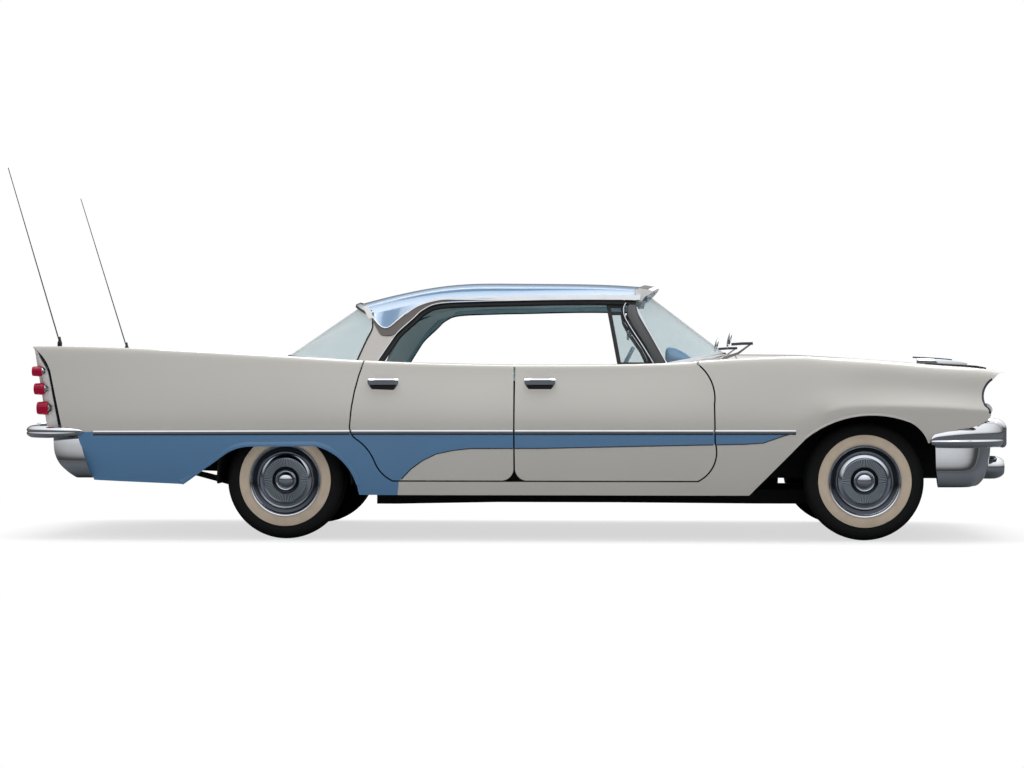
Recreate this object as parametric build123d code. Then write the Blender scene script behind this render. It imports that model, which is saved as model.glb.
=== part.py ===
from build123d import *
import math
import os

# A 1950s four-door hardtop car, as its real panels and running gear.
# +X forward, +Y to the car's left, +Z up, ground at z = 0, all in millimetres.
# The side-view places are written from the two axle lines, XF and XR, until the very end,
# where the whole car moves along X so that its origin is below the middle of its box.

# ---------------------------------------------------------------- driving dimensions
WHEELBASE = 3200.0
FRONT_TRACK = 1554.0
REAR_TRACK = 1524.0
TYRE_RADIUS = 328.0
TYRE_WIDTH = 205.0
BEAD_RADIUS = 178.0        # where tyre and rim meet
RIM_WIDTH = 150.0
DRUM_BACK = 92.0           # back of wheel and drum, from the wheel's middle plane
HUB_RADIUS = 72.0          # raised centre of a wheel cover
SPRING_Y = 530.0           # rear leaf springs, from the centre line
KINGPIN_Y = 630.0          # steering axis, from the centre line
ARM_HALF = 150.0           # half length of the lower front arms at the frame
PIN_RADIUS = 20.0          # kingpins and spindles
RUNNING_CLEARANCE = 0.05   # radial, on every shaft that turns
FACE_CLEARANCE = 6.0       # between faces that turn past each other
ARC_STEP = 15.0            # degrees of an outline's arc that one flat stands for
SKIN = 16.0                # thickness of a body panel with its stiffening
PANEL_GAP = 6.0            # shut line round a moving panel
HINGE_GAP = 8.0            # shut line ahead of a door
HOOD_HALF = 640.0          # hood and trunk seams, from the centre line
CABIN_HALF = 812.0         # cowl, dash and floor, from the centre line
DOOR_INNER = 836.0         # inner face of every door
DOOR_LEAN = 25.0           # how far a door's edges lean in from skin to trim side
WIDEST = 1000.0            # just outside the widest skin, from the centre line
DOOR_SILL_Z = 331.0
SILL_Z = 249.0             # underside of the rockers
ROOF_THICK = 34.0
GLASS = 8.0
GLASS_FLATS = 10           # flats that stand for the bend of each wrap-around pane
COWL_BACK = 675.0          # hood's rear edge, behind the front axle line
TRUNK_FRONT = -160.0       # trunk lid's front edge, from the rear axle line
WHEEL_HOUSE = 372.0        # inner radius of a rear wheel house
FLOOR_Z = 262.0
TUNNEL_Z = 430.0           # underside of the tunnel and of the floor under the rear seat
FLOOR = 8.0                # thickness of floors and bulkheads
TRUNK_FLOOR_Z = 498.0
TRUNK_LIP_Z = 645.0        # lower edge of the trunk lid
DECK_OVERHANG = 70.0       # how far the trunk lid reaches behind the fins' rear edge
RAIL_HEIGHT = 80.0
STEERING_Y = 390.0         # driver's side, from the centre line
LAMP_RADIUS = 70.0         # each of the four headlamps
LAMP_DEPTH = 40.0
LAMP_Z = 808.0
LAMP_PLACES = (692.0, 838.0)
TAIL_LAMP_RADIUS = 36.0
ANTENNA_RADIUS = 3.0
SHAFT_RADIUS = 12.0        # steering shaft, inside its column

XF = WHEELBASE / 2         # front axle line
XR = -WHEELBASE / 2        # rear axle line
ZC = TYRE_RADIUS           # wheel centres above the ground
TAIL_LAMP_PLACES = ((XR - 1288, 852, 930), (XR - 1266, 872, 829), (XR - 1242, 878, 718))   # x, y, z of each base
NOSE_PANEL_X = XF + 576    # front face of the panel behind lamps and grille
HOOD_BACK = XF - COWL_BACK
QUARTER_FRONT = XR + 640   # front end of a rear quarter's lower tip
HEEL_X = XR + 900          # step in the floor ahead of the rear seat
BULKHEAD_X = XR + WHEEL_HOUSE + 10   # front face of the panel between cabin and trunk
COLUMN_RAKE = math.radians(28)
COLUMN = Vector(-math.cos(COLUMN_RAKE), 0, math.sin(COLUMN_RAKE))   # up the steering column
WHEEL_CENTRE = Vector(XF - 1360, STEERING_Y, 895)

# ---------------------------------------------------------------- outer skin, cross-sections
# One row per cross-section, from tail to nose. Columns:
#  x | z, y of the sill | z, y of the waist (widest) | z, y of the shoulder | z, y of the crown
#  | z of the seam at HOOD_HALF | z at the centre line
#  | bulge of lower side, upper side, slope from crown to seam, deck
STATIONS = [
    (XR - 1460, 354, 848, 600, 924, 1010, 899, 1064, 875, 839, 858, 8, 5, -60, 6),
    (XR - 1000, 325, 880, 592, 966, 1008, 916, 1059, 884, 893, 925, 10, 7, -48, 10),
    (XR - 450, 300, 895, 594, 985, 985, 926, 1039, 888, 953, 985, 10, 10, -30, 14),
    (XR + 50, 262, 900, 596, 990, 962, 930, 1015, 890, 985, 1022, 10, 12, -12, 14),
    (XR + 450, 249, 902, 597, 991, 945, 928, 992, 892, 986, 1028, 10, 12, -4, 14),
    (XF - 1922, 249, 903, 597, 991, 925, 925, 969, 892, 966, 1028, 10, 12, -3, 14),
    (XF - 1120, 249, 903, 598, 991, 930, 925, 976, 890, 968, 1032, 10, 12, -4, 14),
    (XF - 840, 249, 902, 599, 991, 945, 927, 994, 887, 972, 1036, 10, 11, -6, 14),
    (XF - 430, 250, 900, 603, 991, 964, 930, 1013, 882, 974, 1034, 10, 9, -9, 14),
    (XF - 240, 252, 895, 682, 992, 962, 931, 1010, 880, 970, 1028, 9, 3, -10, 14),
    (XF - 80, 255, 890, 729, 993, 957, 931, 1002, 877, 963, 1018, 8, -5, -10, 14),
    (XF + 120, 258, 884, 735, 993, 948, 928, 988, 873, 951, 1004, 8, -10, -10, 14),
    (XF + 420, 265, 868, 727, 984, 924, 917, 964, 860, 928, 978, 8, -12, -9, 14),
    (XF + 780, 280, 825, 704, 936, 880, 880, 920, 832, 880, 922, 8, -12, -8, 12),
]

# ---------------------------------------------------------------- roof, cross-sections
# Columns: x | z at the centre line | z, y of the corner | z, y of the rail
ROOF_STATIONS = [
    (XR + 336, 1330, 1288, 560, 1212, 682),
    (XF - 2400, 1430, 1394, 605, 1318, 716),
    (XF - 1940, 1448, 1414, 610, 1342, 719),
    (XF - 1450, 1441, 1408, 600, 1350, 708),
    (XF - 1135, 1420, 1388, 560, 1336, 668),
]
ROOF_TOP_BULGE = 9.0
ROOF_SIDE_BULGE = 12.0

# ---------------------------------------------------------------- side-view outlines, (x, z)
# A segment is two points for a line, three for an arc through them.
TOP = 1200.0               # above every belt line
BELOW = 100.0              # below every sill
NOSE_CUT = [
    ((XF + 695, 888), (XF + 640, 790), (XF + 651, 739)),
    ((XF + 651, 739), (XF + 675, 706), (XF + 657, 672)),
    ((XF + 657, 672), (XF + 470, 640), (XF + 338, 553)),
    ((XF + 338, 553), (XF + 338, BELOW)),
    ((XF + 338, BELOW), (XF + 1000, BELOW)),
    ((XF + 1000, BELOW), (XF + 1000, 924)),
    ((XF + 1000, 924), (XF + 734, 924)),
    ((XF + 734, 924), (XF + 695, 888)),
]
TAIL_EDGE = [
    ((XR - 1383, 1080), (XR - 1383, 1064)),
    ((XR - 1383, 1064), (XR - 1330, 990), (XR - 1304, 930)),
    ((XR - 1304, 930), (XR - 1232, 619)),
    ((XR - 1232, 619), (XR - 1142, 600)),
    ((XR - 1142, 600), (XR - 1056, 300)),
    ((XR - 1056, 300), (XR - 1056, BELOW)),
]
TAIL_CUT = TAIL_EDGE + [
    ((XR - 1056, BELOW), (XR - 1700, BELOW)),
    ((XR - 1700, BELOW), (XR - 1700, 1080)),
    ((XR - 1700, 1080), (XR - 1383, 1080)),
]
FRONT_ARCH = [
    ((XF - 636, BELOW), (XF - 636, 250)),
    ((XF - 636, 250), (XF - 333, 564)),
    ((XF - 333, 564), (XF - 45, 688), (XF + 236, 654)),
    ((XF + 236, 654), (XF + 300, 605), (XF + 338, 540)),
    ((XF + 338, 540), (XF + 338, BELOW)),
    ((XF + 338, BELOW), (XF - 636, BELOW)),
]
REAR_ARCH = [
    ((XR - 567, BELOW), (XR - 567, 306)),
    ((XR - 567, 306), (XR - 331, 469)),
    ((XR - 331, 469), (XR - 262, 505), (XR - 156, 520)),
    ((XR - 156, 520), (XR + 181, 523)),
    ((XR + 181, 523), (XR + 315, 455), (XR + 406, 308)),
    ((XR + 406, 308), (XR + 450, BELOW)),
    ((XR + 450, BELOW), (XR - 567, BELOW)),
]
B_LINE = XF - 1922         # shut line between front and rear doors
B_GAP = HINGE_GAP / 2
FRONT_DOOR = [
    ((XF - 921, TOP), (XF - 921, 970)),
    ((XF - 921, 970), (XF - 848, 880), (XF - 830, 750)),
    ((XF - 830, 750), (XF - 827, 542)),
    ((XF - 827, 542), (XF - 848, 390), (XF - 916, DOOR_SILL_Z)),
    ((XF - 916, DOOR_SILL_Z), (B_LINE + 63, DOOR_SILL_Z)),
    ((B_LINE + 63, DOOR_SILL_Z), (B_LINE + 22, 351), (B_LINE + B_GAP, 398)),
    ((B_LINE + B_GAP, 398), (B_LINE + B_GAP, TOP)),
    ((B_LINE + B_GAP, TOP), (XF - 921, TOP)),
]
REAR_DOOR = [
    ((B_LINE - B_GAP, TOP), (B_LINE - B_GAP, 398)),
    ((B_LINE - B_GAP, 398), (B_LINE - 22, 351), (B_LINE - 68, DOOR_SILL_Z)),
    ((B_LINE - 68, DOOR_SILL_Z), (XR + 607, DOOR_SILL_Z)),
    ((XR + 607, DOOR_SILL_Z), (XR + 553, 370), (XR + 512, 437)),
    ((XR + 512, 437), (XR + 472, 508), (XR + 410, 564)),
    ((XR + 410, 564), (XR + 384, 598), (XR + 379, 640)),
    ((XR + 379, 640), (XR + 403, 828), (XR + 450, 991)),
    ((XR + 450, 991), (XR + 450, TOP)),
    ((XR + 450, TOP), (B_LINE - B_GAP, TOP)),
]
GREENHOUSE = [((822, 940), (706, 1345)), ((706, 1345), (672, 1345)),
              ((672, 1345), (788, 940)), ((788, 940), (822, 940))]
VENT_LEAN = [((859, 940), (722, 1310)), ((722, 1310), (714, 1310)),
             ((714, 1310), (851, 940)), ((851, 940), (859, 940))]
FRONT_PILLAR = [((XF - 1258, 1345), (XF - 1141, 940)), ((XF - 1141, 940), (XF - 1082, 940)),
                ((XF - 1082, 940), (XF - 1218, 1345)), ((XF - 1218, 1345), (XF - 1258, 1345))]
REAR_PILLAR = [
    ((XR + 640, 1290), (XR + 594, 1137)),
    ((XR + 594, 1137), (XR + 480, 940)),
    ((XR + 480, 940), (XR + 404, 940)),
    ((XR + 404, 940), (XR + 450, 1290)),
    ((XR + 450, 1290), (XR + 640, 1290)),
]
VENT = [((XF - 1353, 940), (XF - 1397, 1310)), ((XF - 1397, 1310), (XF - 1261, 1310)),
        ((XF - 1261, 1310), (XF - 1153, 940)), ((XF - 1153, 940), (XF - 1353, 940))]
WINDSHIELD_FOOT = (XF - 1076, CABIN_HALF - 2, 950, XF - 716, 1012)   # side x, y, z, centre x, z
WINDSHIELD_HEAD = (XF - 1206, 690, 1330, XF - 1184, 1382)
BACKLIGHT_FOOT = (XR + 396, CABIN_HALF - 2, 960, XR - 112, 992)
BACKLIGHT_HEAD = (XR + 440, 690, 1226, XR + 324, 1312)


# ---------------------------------------------------------------- helpers
def polygon(*points):
    """The line segments of a closed polygon."""
    return [(a, b) for a, b in zip(points, points[1:] + points[:1])]


def flat(*points):
    """A flat face through points."""
    return make_face(Wire([Line(a, b).edge() for a, b in polygon(*points)]))


def arc_points(start, middle, end):
    """The points of an arc as chords, one for each ARC_STEP of its turn, without its start."""
    (ax, ay), (bx, by), (cx, cy) = start, middle, end
    d = 2 * (ax * (by - cy) + bx * (cy - ay) + cx * (ay - by))
    a2, b2, c2 = ax * ax + ay * ay, bx * bx + by * by, cx * cx + cy * cy
    ox = (a2 * (by - cy) + b2 * (cy - ay) + c2 * (ay - by)) / d
    oy = (a2 * (cx - bx) + b2 * (ax - cx) + c2 * (bx - ax)) / d
    first, last = math.atan2(ay - oy, ax - ox), math.atan2(cy - oy, cx - ox)
    turn = (last - first) % (2 * math.pi) - (0 if d > 0 else 2 * math.pi)
    radius, steps = math.hypot(ax - ox, ay - oy), max(2, math.ceil(abs(math.degrees(turn)) / ARC_STEP))
    return [(ox + radius * math.cos(first + turn * i / steps), oy + radius * math.sin(first + turn * i / steps))
            for i in range(1, steps)] + [end]


def corners(segments):
    """The corners of a closed outline of lines and arcs."""
    points = []
    for segment in segments:
        points += arc_points(*segment) if len(segment) == 3 else [segment[1]]
    return points


def outline(segments, plane_point):
    """A closed face from line and arc segments, with each pair of numbers placed by plane_point."""
    return flat(*[plane_point(*p) for p in corners(segments)])


def side_face(segments, y=0.0):
    """A side-view outline in the plane at y."""
    return outline(segments, lambda x, z: (x, y, z))


def across(segments, y0, y1):
    """A side-view outline as a solid from y0 to y1."""
    return extrude(side_face(segments, y0), amount=y1 - y0, dir=(0, 1, 0))


def along(segments, x0, x1):
    """An outline of (y, z) as a solid from x0 to x1."""
    return extrude(outline(segments, lambda y, z: (x0, y, z)), amount=x1 - x0, dir=(1, 0, 0))


def plan(segments, z0, z1):
    """An outline of (x, y) as a solid from z0 to z1."""
    return extrude(outline(segments, lambda x, y: (x, y, z0)), amount=z1 - z0, dir=(0, 0, 1))


def block(x0, x1, y0, y1, z0, z1):
    """A box between two corners."""
    return Pos((x0 + x1) / 2, (y0 + y1) / 2, (z0 + z1) / 2) * Box(x1 - x0, y1 - y0, z1 - z0)


def rod(start, end, radius):
    """A round bar between two points."""
    start, end = Vector(*start), Vector(*end)
    return Solid.make_cylinder(radius, (end - start).length, Plane(start, z_dir=end - start))


def bar(start, end, radius, sides=6):
    """A bar with flats between two points."""
    start, end = Vector(*start), Vector(*end)
    return extrude(Plane(start, z_dir=end - start) * RegularPolygon(radius, sides), amount=(end - start).length)


def mirrored(shape):
    """The same piece on the car's right side."""
    return mirror(shape, about=Plane.XZ)


def both(shape):
    """A left half joined to its mirror image."""
    return shape + mirrored(shape)


def bulged(a, b, bulge):
    """The point, (y, z), that stands out by bulge from the middle between a and b."""
    (ya, za), (yb, zb) = a, b
    length = math.hypot(yb - ya, zb - za)
    return (ya + yb) / 2 + bulge * (zb - za) / length, (za + zb) / 2 - bulge * (yb - ya) / length


def flats(sections):
    """A solid through closed sections with as many points each: flats between them, split along the shorter diagonal."""
    faces = [flat(*sections[0]), flat(*sections[-1])]
    for near, far in zip(sections, sections[1:]):
        for i in range(len(near)):
            a, b, c, d = near[i - 1], near[i], far[i], far[i - 1]
            if math.dist(a, c) <= math.dist(b, d):
                faces += [flat(a, b, c), flat(a, c, d)]
            else:
                faces += [flat(a, b, d), flat(b, c, d)]
    return Solid(Shell(faces)).clean()


def skin_section(row, inset, drop):
    """The left half of one body cross-section, drawn in by inset and opened downwards by drop."""
    (x, z_sill, y_sill, z_waist, y_waist, z_shoulder, y_shoulder, z_crown, y_crown, z_seam, z_mid,
     low, up, slope, deck) = row
    sill = (y_sill - inset, z_sill)
    waist = (y_waist - inset, z_waist)
    shoulder = (y_shoulder - inset, z_shoulder - 0.3 * inset)
    crown = (y_crown - 0.6 * inset, z_crown - inset)
    seam = (HOOD_HALF, z_seam - inset)
    middle = (0.0, z_mid - inset)
    bottom = z_sill - drop
    points = [(0.0, bottom), (sill[0], bottom), sill, bulged(sill, waist, low), waist, bulged(waist, shoulder, up),
              shoulder, crown, bulged(crown, seam, slope), seam, bulged(seam, middle, deck), middle]
    return [(x, y, z) for y, z in (points if drop else points[:1] + points[2:])]


def hull(rows, inset=0.0, drop=0.0):
    """The left half of the body as one solid through rows of the table."""
    return flats([skin_section(row, inset, drop) for row in rows])


def roof_dome(inset):
    """The left half of the roof as a solid dome. Drawn in by inset, it also runs out past both ends and below."""
    sections = []
    drop = 2 * inset
    centre = (ROOF_STATIONS[0][0] + ROOF_STATIONS[-1][0]) / 2
    for x, z_mid, z_corner, y_corner, z_rail, y_rail in ROOF_STATIONS:
        x += math.copysign(inset, x - centre)
        rail = (y_rail - inset, z_rail)
        corner = (y_corner - 0.5 * inset, z_corner - 0.8 * inset)
        middle = (0.0, z_mid - inset)
        bottom = z_rail - drop
        points = [(0.0, bottom), (rail[0], bottom), rail, bulged(rail, corner, ROOF_SIDE_BULGE), corner,
                  bulged(corner, middle, ROOF_TOP_BULGE), middle]
        sections.append([(x, y, z) for y, z in (points if drop else points[:1] + points[2:])])
    return flats(sections)


def glass_strip(side_x, side_y, side_z, mid_x, mid_z):
    """The corners of a strip of glass bent across the car along an arc from side to side through mid."""
    depth = math.hypot(side_x - mid_x, side_z - mid_z)
    radius = (depth ** 2 + side_y ** 2) / (2 * depth)
    half_turn = math.asin(side_y / radius) if depth < radius else math.pi - math.asin(side_y / radius)
    turns = [half_turn * (2 * i / GLASS_FLATS - 1) for i in range(GLASS_FLATS + 1)]
    lean_x, lean_z = (side_x - mid_x) / depth, (side_z - mid_z) / depth

    def point(turn, r):
        along_depth = radius - r * math.cos(turn)
        return mid_x + along_depth * lean_x, r * math.sin(turn), mid_z + along_depth * lean_z

    outer = [point(turn, radius) for turn in turns]
    inner = [point(turn, radius - GLASS) for turn in reversed(turns)]
    return outer + inner


# ---------------------------------------------------------------- body shell
def door_prism(segments, gap, depth_to=CABIN_HALF - 400):
    """What a door's opening removes from the shell: its outline grown by the gap, right through the side."""
    face = offset(side_face(segments, 1100), amount=gap, kind=Kind.INTERSECTION)
    return extrude(face, amount=1100 - depth_to, dir=(0, -1, 0))


def door(segments):
    """A door as thick as the whole side, its front and rear edges drawn in by DOOR_LEAN towards the cabin."""
    points = corners(segments)
    xs = [x for x, z in points]
    middle, half = (max(xs) + min(xs)) / 2, (max(xs) - min(xs)) / 2
    inner = [(x - DOOR_LEAN * (x - middle) / half, DOOR_INNER, z) for x, z in points]
    return HULL & flats([inner, [(x, WIDEST, z) for x, z in points]])


def bent_glass(foot, head):
    """A wrap-around pane between the arcs of its foot and its head."""
    return flats([glass_strip(*foot), glass_strip(*head)]) - both(HULL)


def cabin_opening():
    """What is open to the sky between the foot of the windshield and the foot of the backlight."""
    front_side, side_y, _, front_mid, _ = WINDSHIELD_FOOT
    rear_side, _, _, rear_mid, _ = BACKLIGHT_FOOT
    lip = 45.0
    front, rear, side_y = front_side - 1.6 * lip, rear_side + 1.6 * lip, side_y + 1
    shape = [
        ((front, -side_y), (front_mid - lip, 0), (front, side_y)),
        ((front, side_y), (rear, side_y)),
        ((rear, side_y), (rear_mid + lip, 0), (rear, -side_y)),
        ((rear, -side_y), (front, -side_y)),
    ]
    return plan(shape, 700, TOP + 100)


def wheel_house():
    """A rear wheel house, open outwards and below."""
    inner_y, outer_y, wall = 590.0, 960.0, 8.0
    outer = bar((XR, inner_y, ZC), (XR, outer_y, ZC), WHEEL_HOUSE + wall, 24)
    inner = bar((XR, inner_y + wall, ZC), (XR, outer_y, ZC), WHEEL_HOUSE, 24)
    below = block(XR - 500, XR + 500, 500, 1100, -100, SILL_Z + 60)
    axle_gap = block(XR - 60, XR + 60, 500, 640, -100, ZC + 60)
    return (outer - inner - below - axle_gap) & INNER


def skin(region):
    """The shell inside a region, with nose, tail and arches cut away."""
    return (HULL & region) - INNER - NOSE - TAIL - ARCHES


def tail_wall(cut, region):
    """The skin across the tail, along the edge of a cut."""
    return (HULL & (Pos(SKIN, 0, 0) * cut) & region) - cut


# ---------------------------------------------------------------- bumpers, grille and lamps
def bumper_ring(tip_x, tip_bow, corner_y, end_x, end_y, thickness, forward):
    """A bumper bar in plan, as outline segments: bowed across, rounded at the corners, back along the sides."""
    f = forward
    corner_x = tip_x - f * tip_bow
    mid_corner = (corner_x - f * 0.32 * (end_y - corner_y), corner_y + 0.68 * (end_y - corner_y))
    side_x = corner_x - f * 1.25 * (end_y - corner_y)
    t = thickness
    inner_mid = (mid_corner[0] - f * 0.7 * t, mid_corner[1] - 0.7 * t)
    return [
        ((corner_x, -corner_y), (tip_x, 0), (corner_x, corner_y)),
        ((corner_x, corner_y), mid_corner, (side_x, end_y)),
        ((side_x, end_y), (end_x, end_y)),
        ((end_x, end_y), (end_x, end_y - t)),
        ((end_x, end_y - t), (side_x, end_y - t)),
        ((side_x, end_y - t), inner_mid),
        (inner_mid, (corner_x - f * t, corner_y)),
        ((corner_x - f * t, corner_y), (corner_x - f * t, -corner_y)),
        ((corner_x - f * t, -corner_y), (inner_mid[0], -inner_mid[1])),
        ((inner_mid[0], -inner_mid[1]), (side_x, t - end_y)),
        ((side_x, t - end_y), (end_x, t - end_y)),
        ((end_x, t - end_y), (end_x, -end_y)),
        ((end_x, -end_y), (side_x, -end_y)),
        ((side_x, -end_y), (mid_corner[0], -mid_corner[1]), (corner_x, -corner_y)),
    ]


def front_bumper():
    """The upper bar, the lower apron under it and the two round pods."""
    rail = plan(bumper_ring(XF + 818, 18, 640, XF + 350, 968, 62, 1), 518, 610)
    bar_side = polygon((XF + 350, 556), (XF + 640, 610), (XF + 860, 610), (XF + 860, 518),
                       (XF + 640, 518), (XF + 350, 541))
    rail &= across(bar_side, -1000, 1000)
    apron = plan(bumper_ring(XF + 765, 15, 700, XF + 360, 950, 30, 1), 296, 518)
    apron_side = [
        ((XF + 357, 518), (XF + 393, 296)),
        ((XF + 393, 296), (XF + 607, 296)),
        ((XF + 607, 296), (XF + 700, 380), (XF + 780, 518)),
        ((XF + 780, 518), (XF + 357, 518)),
    ]
    apron &= across(apron_side, -1000, 1000)
    pod_y, pod_z, pod_r = 520.0, 394.0, 66.0
    pod = bar((XF + 600, pod_y, pod_z), (XF + 815, pod_y, pod_z), pod_r, 24)
    pod -= bar((XF + 785, pod_y, pod_z), (XF + 815, pod_y, pod_z), pod_r - 22, 24)
    return rail + apron + both(pod)


def rear_bumper():
    """The upper bar, with rounded ends along the sides, and the corner wraps below it."""
    rail = plan(bumper_ring(XR - 1535, 40, 700, XR - 1107, 975, 66, -1), 559, 632)
    wrap = plan(bumper_ring(XR - 1440, 40, 720, XR - 1056, 955, 30, -1), 334, 559)
    wrap_side = [
        ((XR - 1123, 559), (XR - 1056, 334)),
        ((XR - 1056, 334), (XR - 1149, 334)),
        ((XR - 1149, 334), (XR - 1250, 380), (XR - 1296, 559)),
        ((XR - 1296, 559), (XR - 1500, 559)),
        ((XR - 1500, 559), (XR - 1500, 640)),
        ((XR - 1500, 640), (XR - 1123, 640)),
        ((XR - 1123, 640), (XR - 1123, 559)),
    ]
    return rail + (wrap & across(wrap_side, -1000, 1000))


def grille():
    """A wide mesh of upright and level bars in its surround."""
    half, low, high = 600.0, 630.0, 850.0
    front, rim, bar = XF + 640.0, 22.0, 7.0
    depth = front - NOSE_PANEL_X
    inner_half, inner_low, inner_high = half - rim, low + rim, high - rim
    mesh = block(front - depth, front, -half, half, low, high)
    columns, rows = 14, 3
    pitch_y = (2 * inner_half + bar) / columns
    pitch_z = (inner_high - inner_low + bar) / rows
    for i in range(columns):
        for k in range(rows):
            y, z = -inner_half + i * pitch_y, inner_low + k * pitch_z
            mesh -= block(front - depth, front, y, y + pitch_y - bar, z, z + pitch_z - bar)
    return mesh


def headlamps():
    """Two round lamps on each side, each a bowl with a lens that stands out of its rim."""
    back, rim, lens = NOSE_PANEL_X, NOSE_PANEL_X + LAMP_DEPTH, NOSE_PANEL_X + LAMP_DEPTH + 12
    pair = []
    for y in LAMP_PLACES:
        bowl = bar((back, y, LAMP_Z), (rim, y, LAMP_Z), LAMP_RADIUS, 24)
        pair.append(bowl + bar((rim, y, LAMP_Z), (lens, y, LAMP_Z), LAMP_RADIUS - 12, 24))
    return both(pair[0] + pair[1])


def tail_lamps():
    """Three tapered lenses, one above another, at the rear of each fin, cut to seat on its edge."""
    tip, length, sides = 22.0, 74.0, 12
    turns = [2 * math.pi * i / sides for i in range(sides)]
    stack = []
    for x, y, z in TAIL_LAMP_PLACES:
        rings = [[(x - back, y + radius * math.cos(turn), z + radius * math.sin(turn)) for turn in turns]
                 for back, radius in ((0, TAIL_LAMP_RADIUS), (length, tip))]
        stack.append(flats(rings) & TAIL)
    return both(stack[0] + stack[1] + stack[2])


# ---------------------------------------------------------------- under the floor
def box_rail(points, half_width, z0, z1):
    """A rail of one box section through plan points, mitred at its bends."""
    left, right = [], []
    for i, (x, y) in enumerate(points):
        ahead = points[min(i + 1, len(points) - 1)]
        behind = points[max(i - 1, 0)]
        length = math.hypot(ahead[0] - behind[0], ahead[1] - behind[1])
        nx, ny = (behind[1] - ahead[1]) / length * half_width, (ahead[0] - behind[0]) / length * half_width
        left.append((x + nx, y + ny))
        right.append((x - nx, y - ny))
    return plan(polygon(*left, *reversed(right)), z0, z1)


def frame_rails():
    """Side rails that close in to a waist under the seats, with cross members and a kick-up at the rear."""
    low, high = FLOOR_Z - RAIL_HEIGHT, FLOOR_Z
    rail = box_rail([(XF + 560, 400), (XF - 560, 400), (XF - 1350, 300), (XR + 1150, 300), (XR + 560, 520)],
                    40, low, high)
    rear = box_rail([(XR + 640, 505), (XR + 520, 530), (XR - 1180, 530)], 40, TRUNK_FLOOR_Z - RAIL_HEIGHT, TRUNK_FLOOR_Z)
    riser = block(XR + 480, XR + 620, 470, 550, low, TRUNK_FLOOR_Z)
    cross = block(XF - 1300, XF - 1220, 0, 330, low, high) + block(XR + 1160, XR + 1240, 0, 330, low, high)
    tail_cross = block(XR - 1180, XR - 1110, 0, 530, TRUNK_FLOOR_Z - RAIL_HEIGHT, TRUNK_FLOOR_Z)
    front_bracket = block(XF + 540, XF + 780, 380, 420, high - 40, 360)
    rear_bracket = block(XR - 1500, XR - 1150, 510, 550, TRUNK_FLOOR_Z - 40, TRUNK_FLOOR_Z)
    rear_bracket += block(XR - 1500, XR - 1440, 510, 550, TRUNK_FLOOR_Z, 632)
    brackets = front_bracket + rear_bracket
    return both(rail + rear + riser + cross + tail_cross + brackets) - BUMPER_FRONT - BUMPER_REAR


def hub_and_cover(centre_y, side):
    """A wheel with its drum, hub and cover with a raised centre, turned about the spindle."""
    bore = PIN_RADIUS + RUNNING_CLEARANCE
    half_rim = RIM_WIDTH / 2
    profile = polygon(
        (bore, -DRUM_BACK), (BEAD_RADIUS, -DRUM_BACK), (BEAD_RADIUS, half_rim),
        (HUB_RADIUS, half_rim), (HUB_RADIUS, half_rim + 32), (0, half_rim + 32), (0, 20), (bore, 20))
    wheel = revolve(outline(profile, lambda radius, y: (0, y, radius)), Axis.Y)
    wheel = wheel if side > 0 else mirrored(wheel)
    return Pos(0, side * centre_y, ZC) * wheel


def tyre(centre_y):
    """A tyre: tread, sloped shoulders and flat side walls down to the bead."""
    w, shoulder = TYRE_WIDTH / 2, 12.0
    side = [(TYRE_RADIUS, w - shoulder), (TYRE_RADIUS - shoulder, w), (BEAD_RADIUS, w)]
    profile = polygon(*side, *[(radius, -y) for radius, y in reversed(side)])
    return Pos(0, centre_y, ZC) * revolve(outline(profile, lambda radius, y: (0, y, radius)), Axis.Y)


def knuckle():
    """A steering knuckle: a block on the kingpin and the spindle that carries the wheel."""
    spindle_end = FRONT_TRACK / 2 + 12
    sleeve = block(XF - 38, XF + 38, KINGPIN_Y - 38, KINGPIN_Y + 38, ZC - 62, ZC + 62)
    spindle = rod((XF, KINGPIN_Y, ZC), (XF, spindle_end, ZC), PIN_RADIUS)
    bore = rod((XF, KINGPIN_Y, ZC - 62), (XF, KINGPIN_Y, ZC + 62), PIN_RADIUS + RUNNING_CLEARANCE)
    return sleeve + spindle - bore


def front_suspension():
    """The cross member, upper and lower arms and the fixed kingpins."""
    low = FLOOR_Z - RAIL_HEIGHT
    lower_arm = plan(polygon((XF - ARM_HALF, 440), (XF + ARM_HALF, 440), (XF + 30, KINGPIN_Y + 30),
                             (XF - 30, KINGPIN_Y + 30)), ZC - 90, ZC - 68)
    upper_arm = plan(polygon((XF - 90, 420), (XF + 90, 420), (XF + 26, KINGPIN_Y + 26),
                             (XF - 26, KINGPIN_Y + 26)), ZC + 68, ZC + 86)
    tower = block(XF - 100, XF + 100, 360, 440, FLOOR_Z, ZC + 86)
    tower += block(XF - ARM_HALF, XF + ARM_HALF, 440, 460, ZC - 90, ZC - 20)
    pin = rod((XF, KINGPIN_Y, ZC - 90), (XF, KINGPIN_Y, ZC + 86), PIN_RADIUS)
    member = block(XF - 70, XF + 70, 0, 360, low, low + 70)
    return both(lower_arm + upper_arm + tower + pin + member)


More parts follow.
